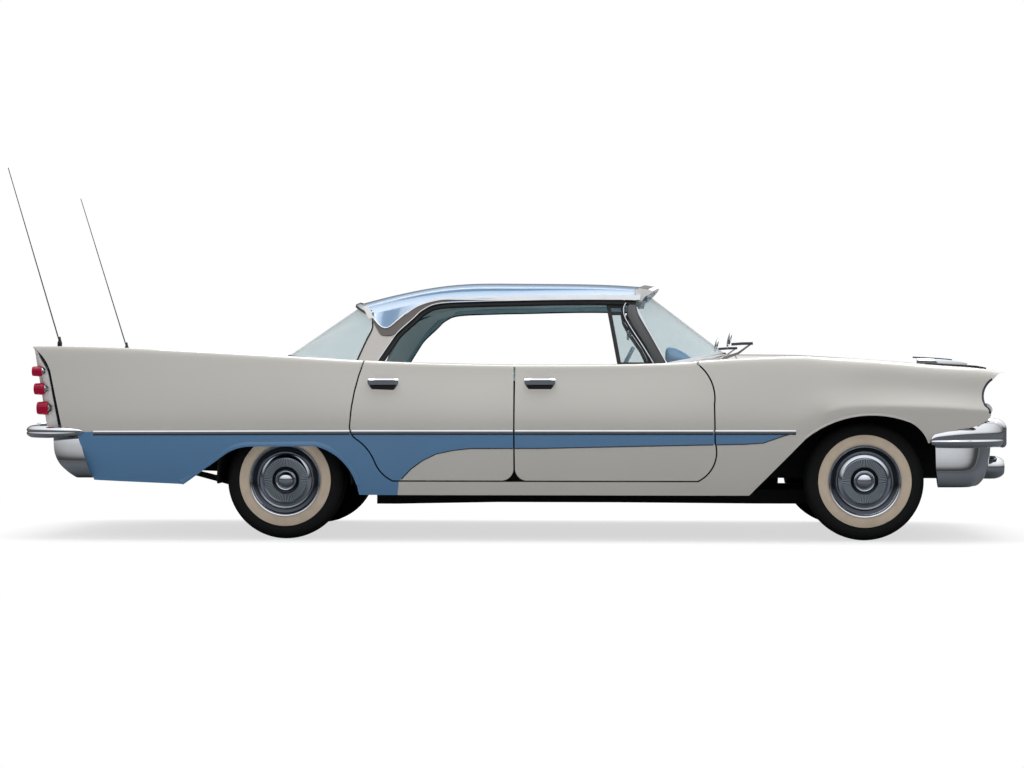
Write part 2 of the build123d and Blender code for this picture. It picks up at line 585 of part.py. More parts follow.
def rear_axle():
    """The axle tube with its differential and shaft, its spindles and the leaf springs that carry it."""
    spindle = REAR_TRACK / 2 + 12
    tube = bar((XR, -640, ZC), (XR, 640, ZC), 42, 12) + rod((XR, -spindle, ZC), (XR, spindle, ZC), PIN_RADIUS)
    case = bar((XR, -80, ZC), (XR, 80, ZC), 138, 16)
    shaft = bar((XR + 100, 0, ZC), (XF - 1010, 0, ZC - 10), 34, 8)
    leaf = across([
        ((XR + 480, 330), (XR, 262), (XR - 760, 396)),
        ((XR - 760, 396), (XR - 760, 418)),
        ((XR - 760, 418), (XR, 296), (XR + 480, 352)),
        ((XR + 480, 352), (XR + 480, 330)),
    ], SPRING_Y - 30, SPRING_Y + 30)
    return tube + case + shaft + both(leaf)


# ---------------------------------------------------------------- inside
def seat(front_x, back_x, floor_z, cushion_z, back_z, half_width):
    """A bench seat: a crowned cushion and a raked backrest."""
    side = [
        ((front_x, floor_z), (front_x + 10, cushion_z - 40)),
        ((front_x + 10, cushion_z - 40), (front_x - 6, cushion_z - 6), (front_x - 50, cushion_z)),
        ((front_x - 50, cushion_z), (back_x + 190, cushion_z - 30)),
        ((back_x + 190, cushion_z - 30), (back_x + 90, back_z - 40)),
        ((back_x + 90, back_z - 40), (back_x + 50, back_z), (back_x + 5, back_z - 40)),
        ((back_x + 5, back_z - 40), (back_x, floor_z)),
        ((back_x, floor_z), (front_x, floor_z)),
    ]
    return across(side, -half_width, half_width)


def steering_wheel():
    """The rim, its spokes and hub, turned about the raked column."""
    frame = Plane(WHEEL_CENTRE, z_dir=COLUMN)
    rim = Pos(0, 0, -10) * extrude(RegularPolygon(218, 24) - RegularPolygon(198, 24), amount=20)
    spokes = Box(24, 404, 10)
    hub = Pos(0, 0, -14) * Cylinder(34, 60)
    bore = Pos(0, 0, -34) * Cylinder(SHAFT_RADIUS + RUNNING_CLEARANCE, 40)
    return frame * (rim + spokes + hub - bore)


def dashboard():
    """The dash, with its padded top, and the steering column through it with its shaft."""
    side = [
        ((XF - 745, 985), (XF - 1010, 985)),
        ((XF - 1010, 985), (XF - 1046, 968), (XF - 1050, 925)),
        ((XF - 1050, 925), (XF - 1010, 770)),
        ((XF - 1010, 770), (XF - 980, 700)),
        ((XF - 980, 700), (XF - 745, 690)),
        ((XF - 745, 690), (XF - 745, 985)),
    ]
    dash = across(side, -CABIN_HALF + FACE_CLEARANCE, CABIN_HALF - FACE_CLEARANCE) & both(INNER)
    start = WHEEL_CENTRE - COLUMN * (44 + FACE_CLEARANCE)
    foot = WHEEL_CENTRE - COLUMN * ((HOOD_BACK - FACE_CLEARANCE - FLOOR - WHEEL_CENTRE.X) / -COLUMN.X)
    column = bar(start, foot, 26, 12)
    shaft = rod(WHEEL_CENTRE - COLUMN * 14, start, SHAFT_RADIUS)
    ahead = block(HOOD_BACK - FACE_CLEARANCE - FLOOR, HOOD_BACK + 100, 0, 1000, 0, 1000)
    return (dash + column + shaft) - ahead


def tunnel(inset):
    """The hump over the drive shaft as a solid, drawn in by inset."""
    base, top, high = 160 - inset, 110 - inset, TUNNEL_Z + FLOOR - inset
    hump = polygon((-base, FLOOR_Z - inset), (base, FLOOR_Z - inset), (top, high), (-top, high))
    return along(hump, HEEL_X - inset, HOOD_BACK - PANEL_GAP)


def floor_pan():
    """The cabin floor with its tunnel and its step under the rear seat, the rockers and the centre posts."""
    floor = block(HEEL_X, HOOD_BACK - PANEL_GAP, 0, CABIN_HALF, FLOOR_Z, FLOOR_Z + FLOOR)
    floor += block(HEEL_X - FLOOR, HEEL_X, 0, CABIN_HALF, FLOOR_Z, TUNNEL_Z + FLOOR)
    floor += block(BULKHEAD_X, HEEL_X, 0, CABIN_HALF, TUNNEL_Z, TUNNEL_Z + FLOOR)
    rocker = HULL & block(QUARTER_FRONT, XF - 908, CABIN_HALF, 1100, SILL_Z - 10, DOOR_SILL_Z - HINGE_GAP)
    post = block(B_LINE - 50, B_LINE + 50, CABIN_HALF - 32, CABIN_HALF, FLOOR_Z + FLOOR, 880)
    return both(floor + rocker + post) + tunnel(0) - tunnel(FLOOR) - FRAME


def cowl():
    """The panel under the windshield, with the firewall and the kick panels below it."""
    front = HOOD_BACK - PANEL_GAP
    top = skin(block(XF - 1150, front, 0, CABIN_HALF, 880, TOP))
    wall = block(front - FLOOR, front, 0, CABIN_HALF, FLOOR_Z + FLOOR, TOP) & INNER
    kick = block(XF - 895, front - FLOOR, CABIN_HALF - 16, CABIN_HALF, FLOOR_Z + FLOOR, TOP) & INNER
    tunnel_gap = block(front - FLOOR, front, 0, 160, FLOOR_Z, TUNNEL_Z + FLOOR)
    return both(top + wall + kick) - cabin_opening() - both(tunnel_gap) - DASH


def fender():
    """A front fender with its visor over the lamps, its arch and the apron inside it."""
    edge = HOOD_BACK - PANEL_GAP
    region = block(XF - 908, edge, CABIN_HALF, 1100, 0, TOP) + block(edge, XF + 900, SEAM, 1100, 0, TOP)
    panel = skin(region) - door_prism(FRONT_DOOR, HINGE_GAP)
    apron = along(polygon((470, 330), (470, 706), (SEAM, 886), (SEAM, TOP), (SEAM + 16, TOP), (SEAM + 16, 880),
                          (486, 700), (486, 330)), edge, XF + 560) & INNER
    arm_gap = block(XF - ARM_HALF - 15, XF + ARM_HALF + 15, 440, 520, 0, ZC + 110)
    return panel + apron - arm_gap - BUMPER_FRONT - LAMPS


def nose_panel():
    """The upright panel that carries grille and lamps and closes the engine bay."""
    panel = block(NOSE_PANEL_X - 16, NOSE_PANEL_X, 0, 960, 610, 890) & INNER
    legs = block(NOSE_PANEL_X - 16, NOSE_PANEL_X, 360, 440, FLOOR_Z, 610)
    pan = block(NOSE_PANEL_X, XF + 765, 0, HOOD_HALF, 586, 586 + FLOOR)
    sill = block(NOSE_PANEL_X - 16, NOSE_PANEL_X, 0, 850, 586, 612)
    return both(panel + legs + pan + sill) - BUMPER_FRONT - FRAME


def quarter_panel():
    """A rear quarter with its fin, arch, wheel house and the lamp panel at its end."""
    beside_cabin = block(XR + 200, QUARTER_FRONT, CABIN_HALF, 1100, 0, TOP) - door_prism(REAR_DOOR, HINGE_GAP)
    rear = block(XR - 1500, XR + 200, SEAM, 1100, 0, TOP)
    lamp_panel = tail_wall(TAIL, block(XR - 1500, XR - 1000, SEAM, 1100, TRUNK_FLOOR_Z, TOP))
    return skin(beside_cabin + rear) - cabin_opening() + lamp_panel + wheel_house() - BUMPER_REAR


def trunk_well():
    """The deck behind the cabin, shelf, bulkhead, trunk floor and the tail panel under the lid."""
    deck_rear = XR + TRUNK_FRONT + PANEL_GAP
    deck = skin(block(deck_rear, XR + 420, 0, SEAM, 700, TOP) + block(XR + 200, XR + 420, SEAM, CABIN_HALF, 700, TOP))
    riser = block(deck_rear, deck_rear + 20, 0, CABIN_HALF - 20, 926, TOP) & INNER
    bulkhead = block(BULKHEAD_X - FLOOR, BULKHEAD_X, 0, 588, TUNNEL_Z, 934)
    shelf = block(deck_rear + 20, BULKHEAD_X - FLOOR, 0, CABIN_HALF - 20, 926, 934)
    floor = block(XR - 1180, BULKHEAD_X - FLOOR, 0, 588, TRUNK_FLOOR_Z, TRUNK_FLOOR_Z + FLOOR)
    tail = tail_wall(DECK_TAIL, block(XR - 1500, XR - 1000, 0, SEAM, TRUNK_FLOOR_Z, TRUNK_LIP_Z - PANEL_GAP))
    pan = block(XR - 1480, XR - 1190, 0, SEAM, 566, 566 + FLOOR)
    return both(deck - cabin_opening() + bulkhead + shelf + riser + floor + tail + pan) - BUMPER_REAR - FRAME


def hood():
    return both(skin(block(HOOD_BACK, XF + 900, 0, SEAM - PANEL_GAP, 600, TOP)))


def trunk_lid():
    region = block(XR - 1500, XR + TRUNK_FRONT, 0, SEAM - PANEL_GAP, TRUNK_LIP_Z, TOP)
    lid = (HULL & region) - INNER - DECK_TAIL
    return both(lid + tail_wall(DECK_TAIL, region))


def roof():
    """The roof skin with its visor, and the pillars that carry it."""
    edge = [
        ((XF - 1208, 760), (XF - 1160, 400), (XF - 1135, 0)),
        ((XF - 1135, 0), (XR + 336, 0)),
        ((XR + 336, 0), (XR + 378, 400), (XR + 480, 760)),
        ((XR + 480, 760), (XF - 1208, 760)),
    ]
    inner = roof_dome(ROOF_THICK)
    pillars = (across(FRONT_PILLAR, 600, 900) + across(REAR_PILLAR, 600, 900)) & along(GREENHOUSE, XR, XF)
    shell = (roof_dome(0) & plan(edge, 1100, 1500)) + (pillars - HULL) - inner
    return both(shell)


def vent_window():
    """The fixed vent pane that stands on a front door."""
    pane = across(VENT, 600, 900) & along(VENT_LEAN, XR, XF)
    return pane - DOOR_FRONT


def fender_mirror():
    """A round mirror on a raked stalk with a blade along its top."""
    x, y, top = XF - 752, 842, 1100
    lean = polygon((x - 12, 960), (x + 12, 960), (x + 60, top), (x + 42, top))
    stalk = across(lean, y - 5, y + 5)
    base = block(x - 24, x + 24, y - 18, y + 18, 960, 1000)
    disc = bar((x + 34, y, top), (x + 50, y, top), 46, 16)
    blade = block(x + 46, x + 170, y - 8, y + 8, top - 12, top - 2)
    return base + stalk + disc + blade - HULL


def antenna(tip_x, tip_z):
    """A raked rod on a base that seats on the top of a fin."""
    x, y, top = XR - 1262, 872, 1092
    base = bar((x, y, 1040), (x, y, top), 15, 8) - HULL
    return base + bar((x, y, top - 8), (tip_x, y, tip_z), ANTENNA_RADIUS)


def spear(y0, y1, rear, front, top):
    """A long low spear that tapers forward along the hood or a fender."""
    side = [
        ((rear, top - 90), (rear - 40, top)),
        ((rear - 40, top), ((rear + front) / 2, top - 4), (front, top - 70)),
        ((front, top - 70), (front, top - 110)),
        ((front, top - 110), (rear, top - 90)),
    ]
    return across(side, y0, y1)


def cabin_mirror():
    """The rear-view mirror under the roof's front edge."""
    head = Pos(XF - 1294, 0, 1150) * Box(14, 240, 52)
    return head + bar((XF - 1294, 0, 1150), (XF - 1228, 0, 1405), 6) - ROOF


# ---------------------------------------------------------------- the pieces
SEAM = HOOD_HALF + PANEL_GAP / 2
FENDER_SPEAR_Y = 740.0
HULL = hull(STATIONS)
INNER = hull(STATIONS[::2] + STATIONS[-1:], SKIN, 60)
NOSE = across(NOSE_CUT, -10, 1100)
TAIL = across(TAIL_CUT, -10, 1100)
ARCHES = across(FRONT_ARCH, 500, 1100) + across(REAR_ARCH, 500, 1100)
DECK_TAIL = Pos(-DECK_OVERHANG, 0, 0) * TAIL
DASH = dashboard()
LAMPS = headlamps()
BUMPER_FRONT = front_bumper()
BUMPER_REAR = rear_bumper()
FRAME = frame_rails()
FLOOR_PAN = floor_pan()
ROOF = roof()
DOOR_FRONT = door(FRONT_DOOR)
DOOR_REAR = door(REAR_DOOR)


def paired(name, shape):
    """A left piece and its mirror image."""
    return {name + "_left": shape, name + "_right": mirrored(shape)}


def wheels():
    """Four wheels and tyres, one node each."""
    nodes = {}
    for end, x, track in (("front", XF, FRONT_TRACK), ("rear", XR, REAR_TRACK)):
        for side, sign in (("left", 1), ("right", -1)):
            nodes[f"wheel_{end}_{side}"] = Pos(x, 0, 0) * hub_and_cover(track / 2, sign)
            nodes[f"tyre_{end}_{side}"] = Pos(x, 0, 0) * tyre(sign * track / 2)
    return nodes


PIECES = {
    **paired("fender", fender()),
    **paired("quarter_panel", quarter_panel()),
    **paired("door_front", DOOR_FRONT),
    **paired("door_rear", DOOR_REAR),
    **paired("vent_window", vent_window()),
    **paired("knuckle", knuckle()),
    **wheels(),
    "hood": hood(),
    "trunk_lid": trunk_lid(),
    "cowl": cowl(),
    "nose_panel": nose_panel(),
    "trunk_well": trunk_well(),
    "floor_pan": FLOOR_PAN,
    "roof": ROOF,
    "windshield": bent_glass(WINDSHIELD_FOOT, WINDSHIELD_HEAD),
    "backlight": bent_glass(BACKLIGHT_FOOT, BACKLIGHT_HEAD),
    "front_bumper": BUMPER_FRONT,
    "rear_bumper": BUMPER_REAR,
    "grille": grille(),
    "headlamps": LAMPS,
    "tail_lamps": tail_lamps(),
    "frame_rails": FRAME,
    "front_suspension": front_suspension(),
    "rear_axle": rear_axle(),
    "engine": block(XF - 420, XF + 220, -270, 270, 330, 850) + bar((XF - 420, 0, ZC), (XF - 1000, 0, ZC), 88, 8),
    "front_seat": seat(XF - 1350, XF - 2020, FLOOR_Z + FLOOR, 560, 930, 690) - tunnel(0),
    "rear_seat": seat(XR + 930, BULKHEAD_X + 4, TUNNEL_Z + FLOOR, 590, 950, 690) - FRAME,
    "dashboard": DASH,
    "steering_wheel": steering_wheel(),
    "mirrors": both(fender_mirror()) + cabin_mirror(),
    "antennas": mirrored(antenna(XR - 1553, 2071)) + antenna(XR - 1556, 2039),
    "hood_ornament": spear(-18, 18, XF + 396, XF + 690, 1012) - both(HULL),
    "fender_spears": both(spear(FENDER_SPEAR_Y - 13, FENDER_SPEAR_Y + 13, XF + 352, XF + 700, 975) - HULL),
}

box = Compound(children=[Compound(s.wrapped) for s in PIECES.values()]).bounding_box()
SHIFT = Pos(-(box.min.X + box.max.X) / 2, 0, 0)
os.makedirs("parts", exist_ok=True)
for node, shape in PIECES.items():
    export_step(SHIFT * shape, f"parts/{node}.step")
print("shift along X:", -(box.min.X + box.max.X) / 2)
print("box:", box.min, box.max)
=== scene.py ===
# %% [markdown]
# # A 1950s four-door hardtop car
# The CAD model of the car loads as a fixed frame: it gives every size, every joint and the
# place of each part. This notebook gives the car what a body shop and a trim shop would:
# smooth panels, paint, chrome, glass, rubber and cloth, each piece riding on the CAD body
# that moves it.

# %% Load the frame
import math

import bmesh
import bpy
from mathutils import Matrix, Vector
from mathutils.bvhtree import BVHTree


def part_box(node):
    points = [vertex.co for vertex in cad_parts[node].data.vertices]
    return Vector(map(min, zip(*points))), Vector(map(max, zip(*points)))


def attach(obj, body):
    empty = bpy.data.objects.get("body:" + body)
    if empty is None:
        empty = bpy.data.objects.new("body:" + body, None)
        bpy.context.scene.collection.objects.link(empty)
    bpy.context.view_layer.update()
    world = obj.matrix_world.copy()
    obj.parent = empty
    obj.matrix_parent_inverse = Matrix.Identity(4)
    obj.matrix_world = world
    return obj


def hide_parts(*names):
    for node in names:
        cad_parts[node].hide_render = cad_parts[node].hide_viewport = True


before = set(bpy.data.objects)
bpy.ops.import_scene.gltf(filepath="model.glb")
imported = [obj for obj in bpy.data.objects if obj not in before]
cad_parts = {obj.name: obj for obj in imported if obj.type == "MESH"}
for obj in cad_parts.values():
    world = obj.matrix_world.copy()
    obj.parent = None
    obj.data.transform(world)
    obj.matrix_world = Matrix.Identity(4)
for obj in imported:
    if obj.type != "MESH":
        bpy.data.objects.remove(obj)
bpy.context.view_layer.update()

# %% [markdown]
# ## A ruler in millimetres
# Body drawings are made in millimetres from the two axle lines, so the tables below are too.
# One function turns such a place into Blender's metres. Its shift along the car comes from
# the CAD front wheel, so the drawing and the frame cannot drift apart.

# %% Millimetres from the axles
XF, XR = 1600, -1600
wheel_low, wheel_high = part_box("wheel_front_left")
SHIFT = 500 * (wheel_low.x + wheel_high.x) - XF


def mm(x, y, z):
    return Vector((x + SHIFT, y, z)) / 1000


print("drawing zero stands at x =", SHIFT / 1000)

# %% [markdown]
# ## Shader maths as Python
# Node trees are easier to read as sums. A Field wraps one socket, and each operator adds a
# Math node. A Graph is a node tree with one short method for each kind of node that is used
# often. A Finish is the graph of one material, which starts from its Principled shader.


# %% Fields and finishes
class Field:
    def __init__(self, graph, socket):
        self.graph, self.socket = graph, socket

    def maths(self, operation, a, b):
        return self.graph.node("ShaderNodeMath", {"operation": operation}, {0: a, 1: b})

    def __add__(self, other):
        return self.maths("ADD", self, other)

    def __sub__(self, other):
        return self.maths("SUBTRACT", self, other)

    def __mul__(self, other):
        return self.maths("MULTIPLY", self, other)

    def __truediv__(self, other):
        return self.maths("DIVIDE", self, other)

    def __lt__(self, other):
        return self.maths("LESS_THAN", self, other)

    def __pow__(self, other):
        return self.maths("POWER", self, other)


def srgb(red, green, blue):
    return [((c / 255 + 0.055) / 1.055) ** 2.4 if c > 10 else c / 3294 for c in (red, green, blue)] + [1]


class Graph:
    def __init__(self, tree):
        self.tree = tree

    def plug(self, socket, value):
        if isinstance(value, Field):
            self.tree.links.new(socket, value.socket)
        else:
            socket.default_value = value

    def node(self, kind, settings=None, inputs=None, output=0):
        node = self.tree.nodes.new(kind)
        for key, value in (settings or {}).items():
            setattr(node, key, value)
        for key, value in (inputs or {}).items():
            self.plug(node.inputs[key], value)
        return Field(self, node.outputs[output])

    def spread(self, value, low, high, out_low, out_high):
        """Value from low..high to out_low..out_high, held at both ends."""
        return self.node("ShaderNodeMapRange", {"clamp": True}, {
            "Value": value, "From Min": low, "From Max": high, "To Min": out_low, "To Max": out_high})

    def mix(self, share, a, b):
        return self.node("ShaderNodeMix", {"data_type": "RGBA"}, {0: share, 6: a, 7: b}, output=2)

    def ramp(self, value, stops):
        """The colour at value, read between stops of (position, colour)."""
        colours = self.node("ShaderNodeValToRGB", inputs={0: value})
        elements = colours.socket.node.color_ramp.elements
        for element, stop in zip(elements, (stops[0], stops[-1])):
            element.position, element.color = stop
        for position, colour in stops[1:-1]:
            elements.new(position).color = colour
        return colours

    def rays(self):
        """Two fields: is the place seen directly or through glass, and is it seen in a mirror."""
        path = self.tree.nodes.new("ShaderNodeLightPath")
        camera, through, glossy = (Field(self, path.outputs[f"Is {kind} Ray"])
                                   for kind in ("Camera", "Transmission", "Glossy"))
        return camera + through, glossy


class Finish(Graph):
    def __init__(self, name, colour, **constants):
        self.material = bpy.data.materials.new(name)
        self.material.use_nodes = True
        super().__init__(self.material.node_tree)
        self.shader = self.tree.nodes["Principled BSDF"]
        self.put("Base Color", colour)
        for key, value in constants.items():
            self.put(key.replace("_", " "), value)

    def put(self, socket, value):
        self.plug(self.shader.inputs[socket], value)

    def place(self, scale=(1, 1, 1)):
        """Object coordinates, in metres, scaled."""
        here = self.node("ShaderNodeTexCoord", output="Object")
        return self.node("ShaderNodeMapping", {"vector_type": "POINT"}, {"Vector": here, "Scale": scale})

    def axes(self):
        parts = self.node("ShaderNodeSeparateXYZ", inputs={0: self.place()}).socket.node.outputs
        return [Field(self, part) for part in parts]

    def noise(self, scale, detail=3, roughness=0.5, stretch=(1, 1, 1)):
        return self.node("ShaderNodeTexNoise", inputs={
            "Vector": self.place(stretch), "Scale": scale, "Detail": detail, "Roughness": roughness})

    def bump(self, height, distance, strength=1.0):
        self.put("Normal", self.node("ShaderNodeBump", inputs={
            "Strength": strength, "Distance": distance, "Height": height}))

    def veil(self, share, behind, front=None):
        """Ends the material in a blend of two shaders instead of its Principled shader alone."""
        blend = self.node("ShaderNodeMixShader", inputs={
            0: share, 1: behind, 2: front or Field(self, self.shader.outputs[0])})
        self.plug(self.tree.nodes["Material Output"].inputs[0], blend)


# %% [markdown]
# ## Body paint in two colours
# The sides carry a cream that breaks into blue below a long chrome line. The blue sweep's
# lower edge is a curve that starts as a point on the front fender and falls to the rocker
# ahead of the rear wheel. A colour ramp read as a height over x draws that curve, and a
# comparison with z makes the mask, so the colour break crosses door gaps without a step.
# The paint itself is a coat over a faintly uneven base.

# %% Two-tone paint
CREAM, BLUE, ROOF_BLUE = srgb(208, 205, 198), srgb(88, 136, 180), srgb(80, 120, 156)
PAINT_SHINE = 0.35
SWEEP = [(-3100, 200), (-963, 200), (-962, 325), (-944, 339), (-891, 394), (-824, 442), (-749, 478),
         (-654, 498), (-559, 508), (-182, 509), (259, 519), (773, 530), (934, 533), (1038, 540),
         (1144, 577), (1215, 596)]
SWEEP_LOW, SWEEP_HIGH = 150, 650   # heights that the ramp's black and white stand for
BLUE_TOP, BLUE_FRONT = 597, 1180   # the chrome line's middle, and the station of the sweep's point


def curve_over_x(finish, x, points, low, high):
    """A height in metres over x, read from a colour ramp through points."""
    first, last = points[0][0], points[-1][0]
    stops = [((px - first) / (last - first), [(pz - low) / (high - low)] * 3 + [1]) for px, pz in points]
    share = (x * 1000 - (first + SHIFT)) / (last - first)
    return finish.ramp(share, stops) * ((high - low) / 1000) + low / 1000


def coat_of_paint(finish, colour):
    """Slow colour drift, fine flake-free roughness and a clear coat over colour."""
    drift = finish.spread(finish.noise(1.3, 2), 0.3, 0.7, 0.0, 0.08)
    finish.put("Base Color", finish.mix(drift, colour, srgb(150, 150, 146)))
    finish.put("Roughness", finish.spread(finish.noise(22, 4), 0.3, 0.7, 0.30, 0.38))
    finish.put("Coat Weight", 0.9)
    finish.put("Coat Roughness", 0.09)
    finish.bump(finish.noise(260, 2), 0.00002, 0.4)


def two_tone():
    finish = Finish("two_tone_paint", CREAM, Specular_IOR_Level=PAINT_SHINE)
    x, y, z = finish.axes()
    over_edge = finish.spread(z - curve_over_x(finish, x, SWEEP, SWEEP_LOW, SWEEP_HIGH), -0.001, 0.001, 0, 1)
    under_line = finish.spread(z, (BLUE_TOP - 1) / 1000, (BLUE_TOP + 1) / 1000, 1, 0)
    behind_tip = x < (BLUE_FRONT + SHIFT) / 1000
    coat_of_paint(finish, finish.mix(over_edge * under_line * behind_tip, CREAM, BLUE))
    return finish.material


def one_tone():
    finish = Finish("roof_paint", ROOF_BLUE, Specular_IOR_Level=PAINT_SHINE)
    coat_of_paint(finish, ROOF_BLUE)
    return finish.material


PAINT, ROOF_PAINT = two_tone(), one_tone()
print("paints:", PAINT.name, ROOF_PAINT.name)

# %% [markdown]
# ## Chrome, steel, rubber and glass
# Plated trim is a full metal whose roughness wanders with faint polishing haze. Brushed
# mouldings have long streaks, made by a noise that is stretched along the car. Rubber is
# almost black and never smooth. Glass is a clear tinted film with a mirror layer that grows
# at shallow angles, so what is behind it stays sharp.


# %% Metals
def metal(name, colour, rough_low, rough_high, streaks=(1, 1, 1), scale=9):
    finish = Finish(name, colour, Metallic=1.0)
    haze = finish.noise(scale, 4, 0.6, streaks)
    finish.put("Roughness", finish.spread(haze, 0.3, 0.7, rough_low, rough_high))
    finish.put("Base Color", finish.mix(finish.spread(haze, 0.35, 0.75, 0, 0.25), colour,
                                        [c * 0.7 for c in colour[:3]] + [1]))
    return finish.material


CHROME = metal("chrome", srgb(222, 225, 228), 0.04, 0.09)
# A dark metal. On the wheel covers, the tail bevel and the nose edge it stands for chrome in shade and its
# dark reflections: a painted shade.
DARK_METAL_AND_SHADE = metal("dark_metal_and_painted_shade", srgb(70, 74, 80), 0.12, 0.2)
BRUSHED = metal("brushed_moulding", srgb(112, 108, 104), 0.32, 0.46, (2, 60, 90), 14)
PILLAR_GREY = metal("pillar_grey", srgb(92, 94, 95), 0.3, 0.42, (60, 8, 3), 12)
STAINLESS = metal("stainless_sheet", srgb(196, 192, 187), 0.28, 0.4, (60, 8, 3), 12)
ALUMINIUM = metal("wheel_cover_metal", srgb(214, 219, 227), 0.06, 0.12)
CAST = metal("cast_metal", srgb(96, 98, 100), 0.5, 0.7)


# %% Paint and plastic of one colour, rubber and glass
def plain(name, colour, second, rough, grain_scale, grain_depth, scale=6):
    """A dull solid with slow stains of a second colour and a fine grain."""
    finish = Finish(name, colour)
    stain = finish.noise(scale, 5, 0.6)
    finish.put("Base Color", finish.mix(finish.spread(stain, 0.4, 0.8, 0, 0.6), colour, second))
    finish.put("Roughness", finish.spread(stain, 0.3, 0.7, rough - 0.06, rough + 0.06))
    finish.bump(finish.noise(grain_scale, 2), grain_depth, 0.5)
    return finish.material


UNDERBODY = plain("underbody_black", srgb(13, 14, 15), srgb(30, 28, 26), 0.75, 180, 0.0004)
RUBBER = plain("tyre_rubber", srgb(6, 8, 9), srgb(12, 13, 14), 0.84, 420, 0.0002)
SEAL = plain("window_seal", srgb(16, 17, 18), srgb(30, 30, 30), 0.6, 300, 0.0001)
WHITEWALL = plain("whitewall", srgb(222, 205, 183), srgb(196, 180, 160), 0.6, 300, 0.0001, 14)
STEEL_PAINT = plain("wheel_steel", srgb(86, 122, 158), srgb(60, 70, 80), 0.45, 200, 0.0001)
BLUE_TRIM = plain("trim_vinyl", srgb(186, 214, 220), srgb(166, 194, 202), 0.5, 500, 0.0002)
# A near-white dull finish for bright trim: its white is a painted reflection of the bright studio on chrome.
REFLECTION_WHITE = plain("bright_satin", srgb(246, 246, 244), srgb(226, 227, 226), 0.35, 900, 0.00002)
# A pale grey for the lit side of each flute on the wheel covers: a painted highlight.
FLUTE_HIGHLIGHT = plain("flute_painted_highlight", srgb(206, 220, 230), srgb(170, 186, 198), 0.3, 900, 0.00002)
HEADLINING = plain("headlining_cloth", srgb(234, 243, 244), srgb(214, 226, 230), 0.8, 900, 0.0002)
DASH_BLUE = plain("dash_vinyl", srgb(54, 116, 158), srgb(44, 96, 136), 0.45, 500, 0.0002)
ROD = plain("antenna_steel", srgb(74, 76, 79), srgb(58, 60, 62), 0.35, 300, 0.00002)
PLASTIC = plain("wheel_plastic", srgb(150, 178, 196), srgb(128, 156, 176), 0.3, 400, 0.00005)


def glass(name, tint, shine=0.03, rough=0.02):
    finish = Finish(name, srgb(235, 240, 240), Roughness=rough)
    clear = finish.node("ShaderNodeBsdfTransparent", inputs={"Color": tint})
    facing = finish.node("ShaderNodeLayerWeight", inputs={"Blend": 0.35}, output="Facing")
    smear = finish.spread(finish.noise(3, 3), 0.3, 0.8, 0.0, 0.03)
    finish.veil(facing ** 4 * 0.4 + shine + smear, clear)
    return finish.material


def ribbed_lens(name, dark, light, glow):
    """A lens with level ribs, lit a little from within."""
    finish = Finish(name, light, Roughness=0.3, Specular_IOR_Level=0.25, Coat_Weight=0.1, Coat_Roughness=0.05,
                    Emission_Color=glow, Emission_Strength=0.45)
    ribs = finish.node("ShaderNodeTexWave", {"wave_type": "BANDS", "bands_direction": "Z"},
                       {"Vector": finish.place(), "Scale": 34, "Distortion": 0})
    finish.put("Base Color", finish.mix(ribs, dark, light))
    finish.bump(ribs, 0.0006, 0.6)
    return finish.material


CLEAR_GLASS = glass("clear_glass", srgb(239, 243, 244))
LAMP_GLASS = glass("lamp_glass", srgb(240, 244, 246), 0.12, 0.05)
RED_LENS = ribbed_lens("red_lens", srgb(110, 0, 28), srgb(168, 0, 48), srgb(120, 0, 38))
CARPET = plain("carpet", srgb(52, 76, 90), srgb(40, 60, 72), 0.95, 900, 0.002)
print("materials made:", len(bpy.data.materials))

# %% [markdown]
# ## A small kit of mesh moves
# Nearly every piece is one of four things: loops of a few points bridged one to the next, a
# flat outline pulled into a prism, a profile spun about an axle, or a profile carried along
# a line. Each helper starts a bmesh and lets the operators make the faces.


# %% Loops, prisms, spins and sweeps
def loop(bm, points, closed=True):
    verts = [bm.verts.new(mm(*p)) for p in points]
    return [bm.edges.new(pair) for pair in zip(verts, verts[1:] + (verts[:1] if closed else []))]


def skinned(sections, closed=True, caps=True):
    """Loops of points, bridged one to the next."""
    bm = bmesh.new()
    loops = [loop(bm, section, closed) for section in sections]
    for near, far in zip(loops, loops[1:]):
        bmesh.ops.bridge_loops(bm, edges=near + far)
    if closed and caps:
        for end in (loops[0], loops[-1]):
            bmesh.ops.edgeloop_fill(bm, edges=end)
    bmesh.ops.recalc_face_normals(bm, faces=bm.faces)
    return bm


def corners(geom):
    return [v for v in geom if isinstance(v, bmesh.types.BMVert)]


def pull_faces(bm, pull):
    """Grows a sheet into a closed wall by a vector in metres."""
    far = bmesh.ops.extrude_face_region(bm, geom=bm.faces[:])["geom"]
    bmesh.ops.translate(bm, vec=pull, verts=corners(far))
    bmesh.ops.recalc_face_normals(bm, faces=bm.faces)
    return bm


def prism(points, pull):
    """A flat outline of points, pulled by a vector in millimetres."""
    bm = bmesh.new()
    bm.faces.new([bm.verts.new(mm(*p)) for p in points])
    return pull_faces(bm, Vector(pull) / 1000)


def bevelled(bm, offset, segments, edges=None):
    """Rounds edges, or all of them, by an offset in millimetres."""
    bmesh.ops.bevel(bm, geom=edges or bm.edges[:], offset=offset / 1000, segments=segments, profile=0.5,
                    affect="EDGES", material=-1)
    return bm


def side_prism(points, y0, y1):
    return prism([(x, y0, z) for x, z in points], (0, y1 - y0, 0))


def plan_prism(points, z0, z1):
    return prism([(x, y, z0) for x, y in points], (0, 0, z1 - z0))


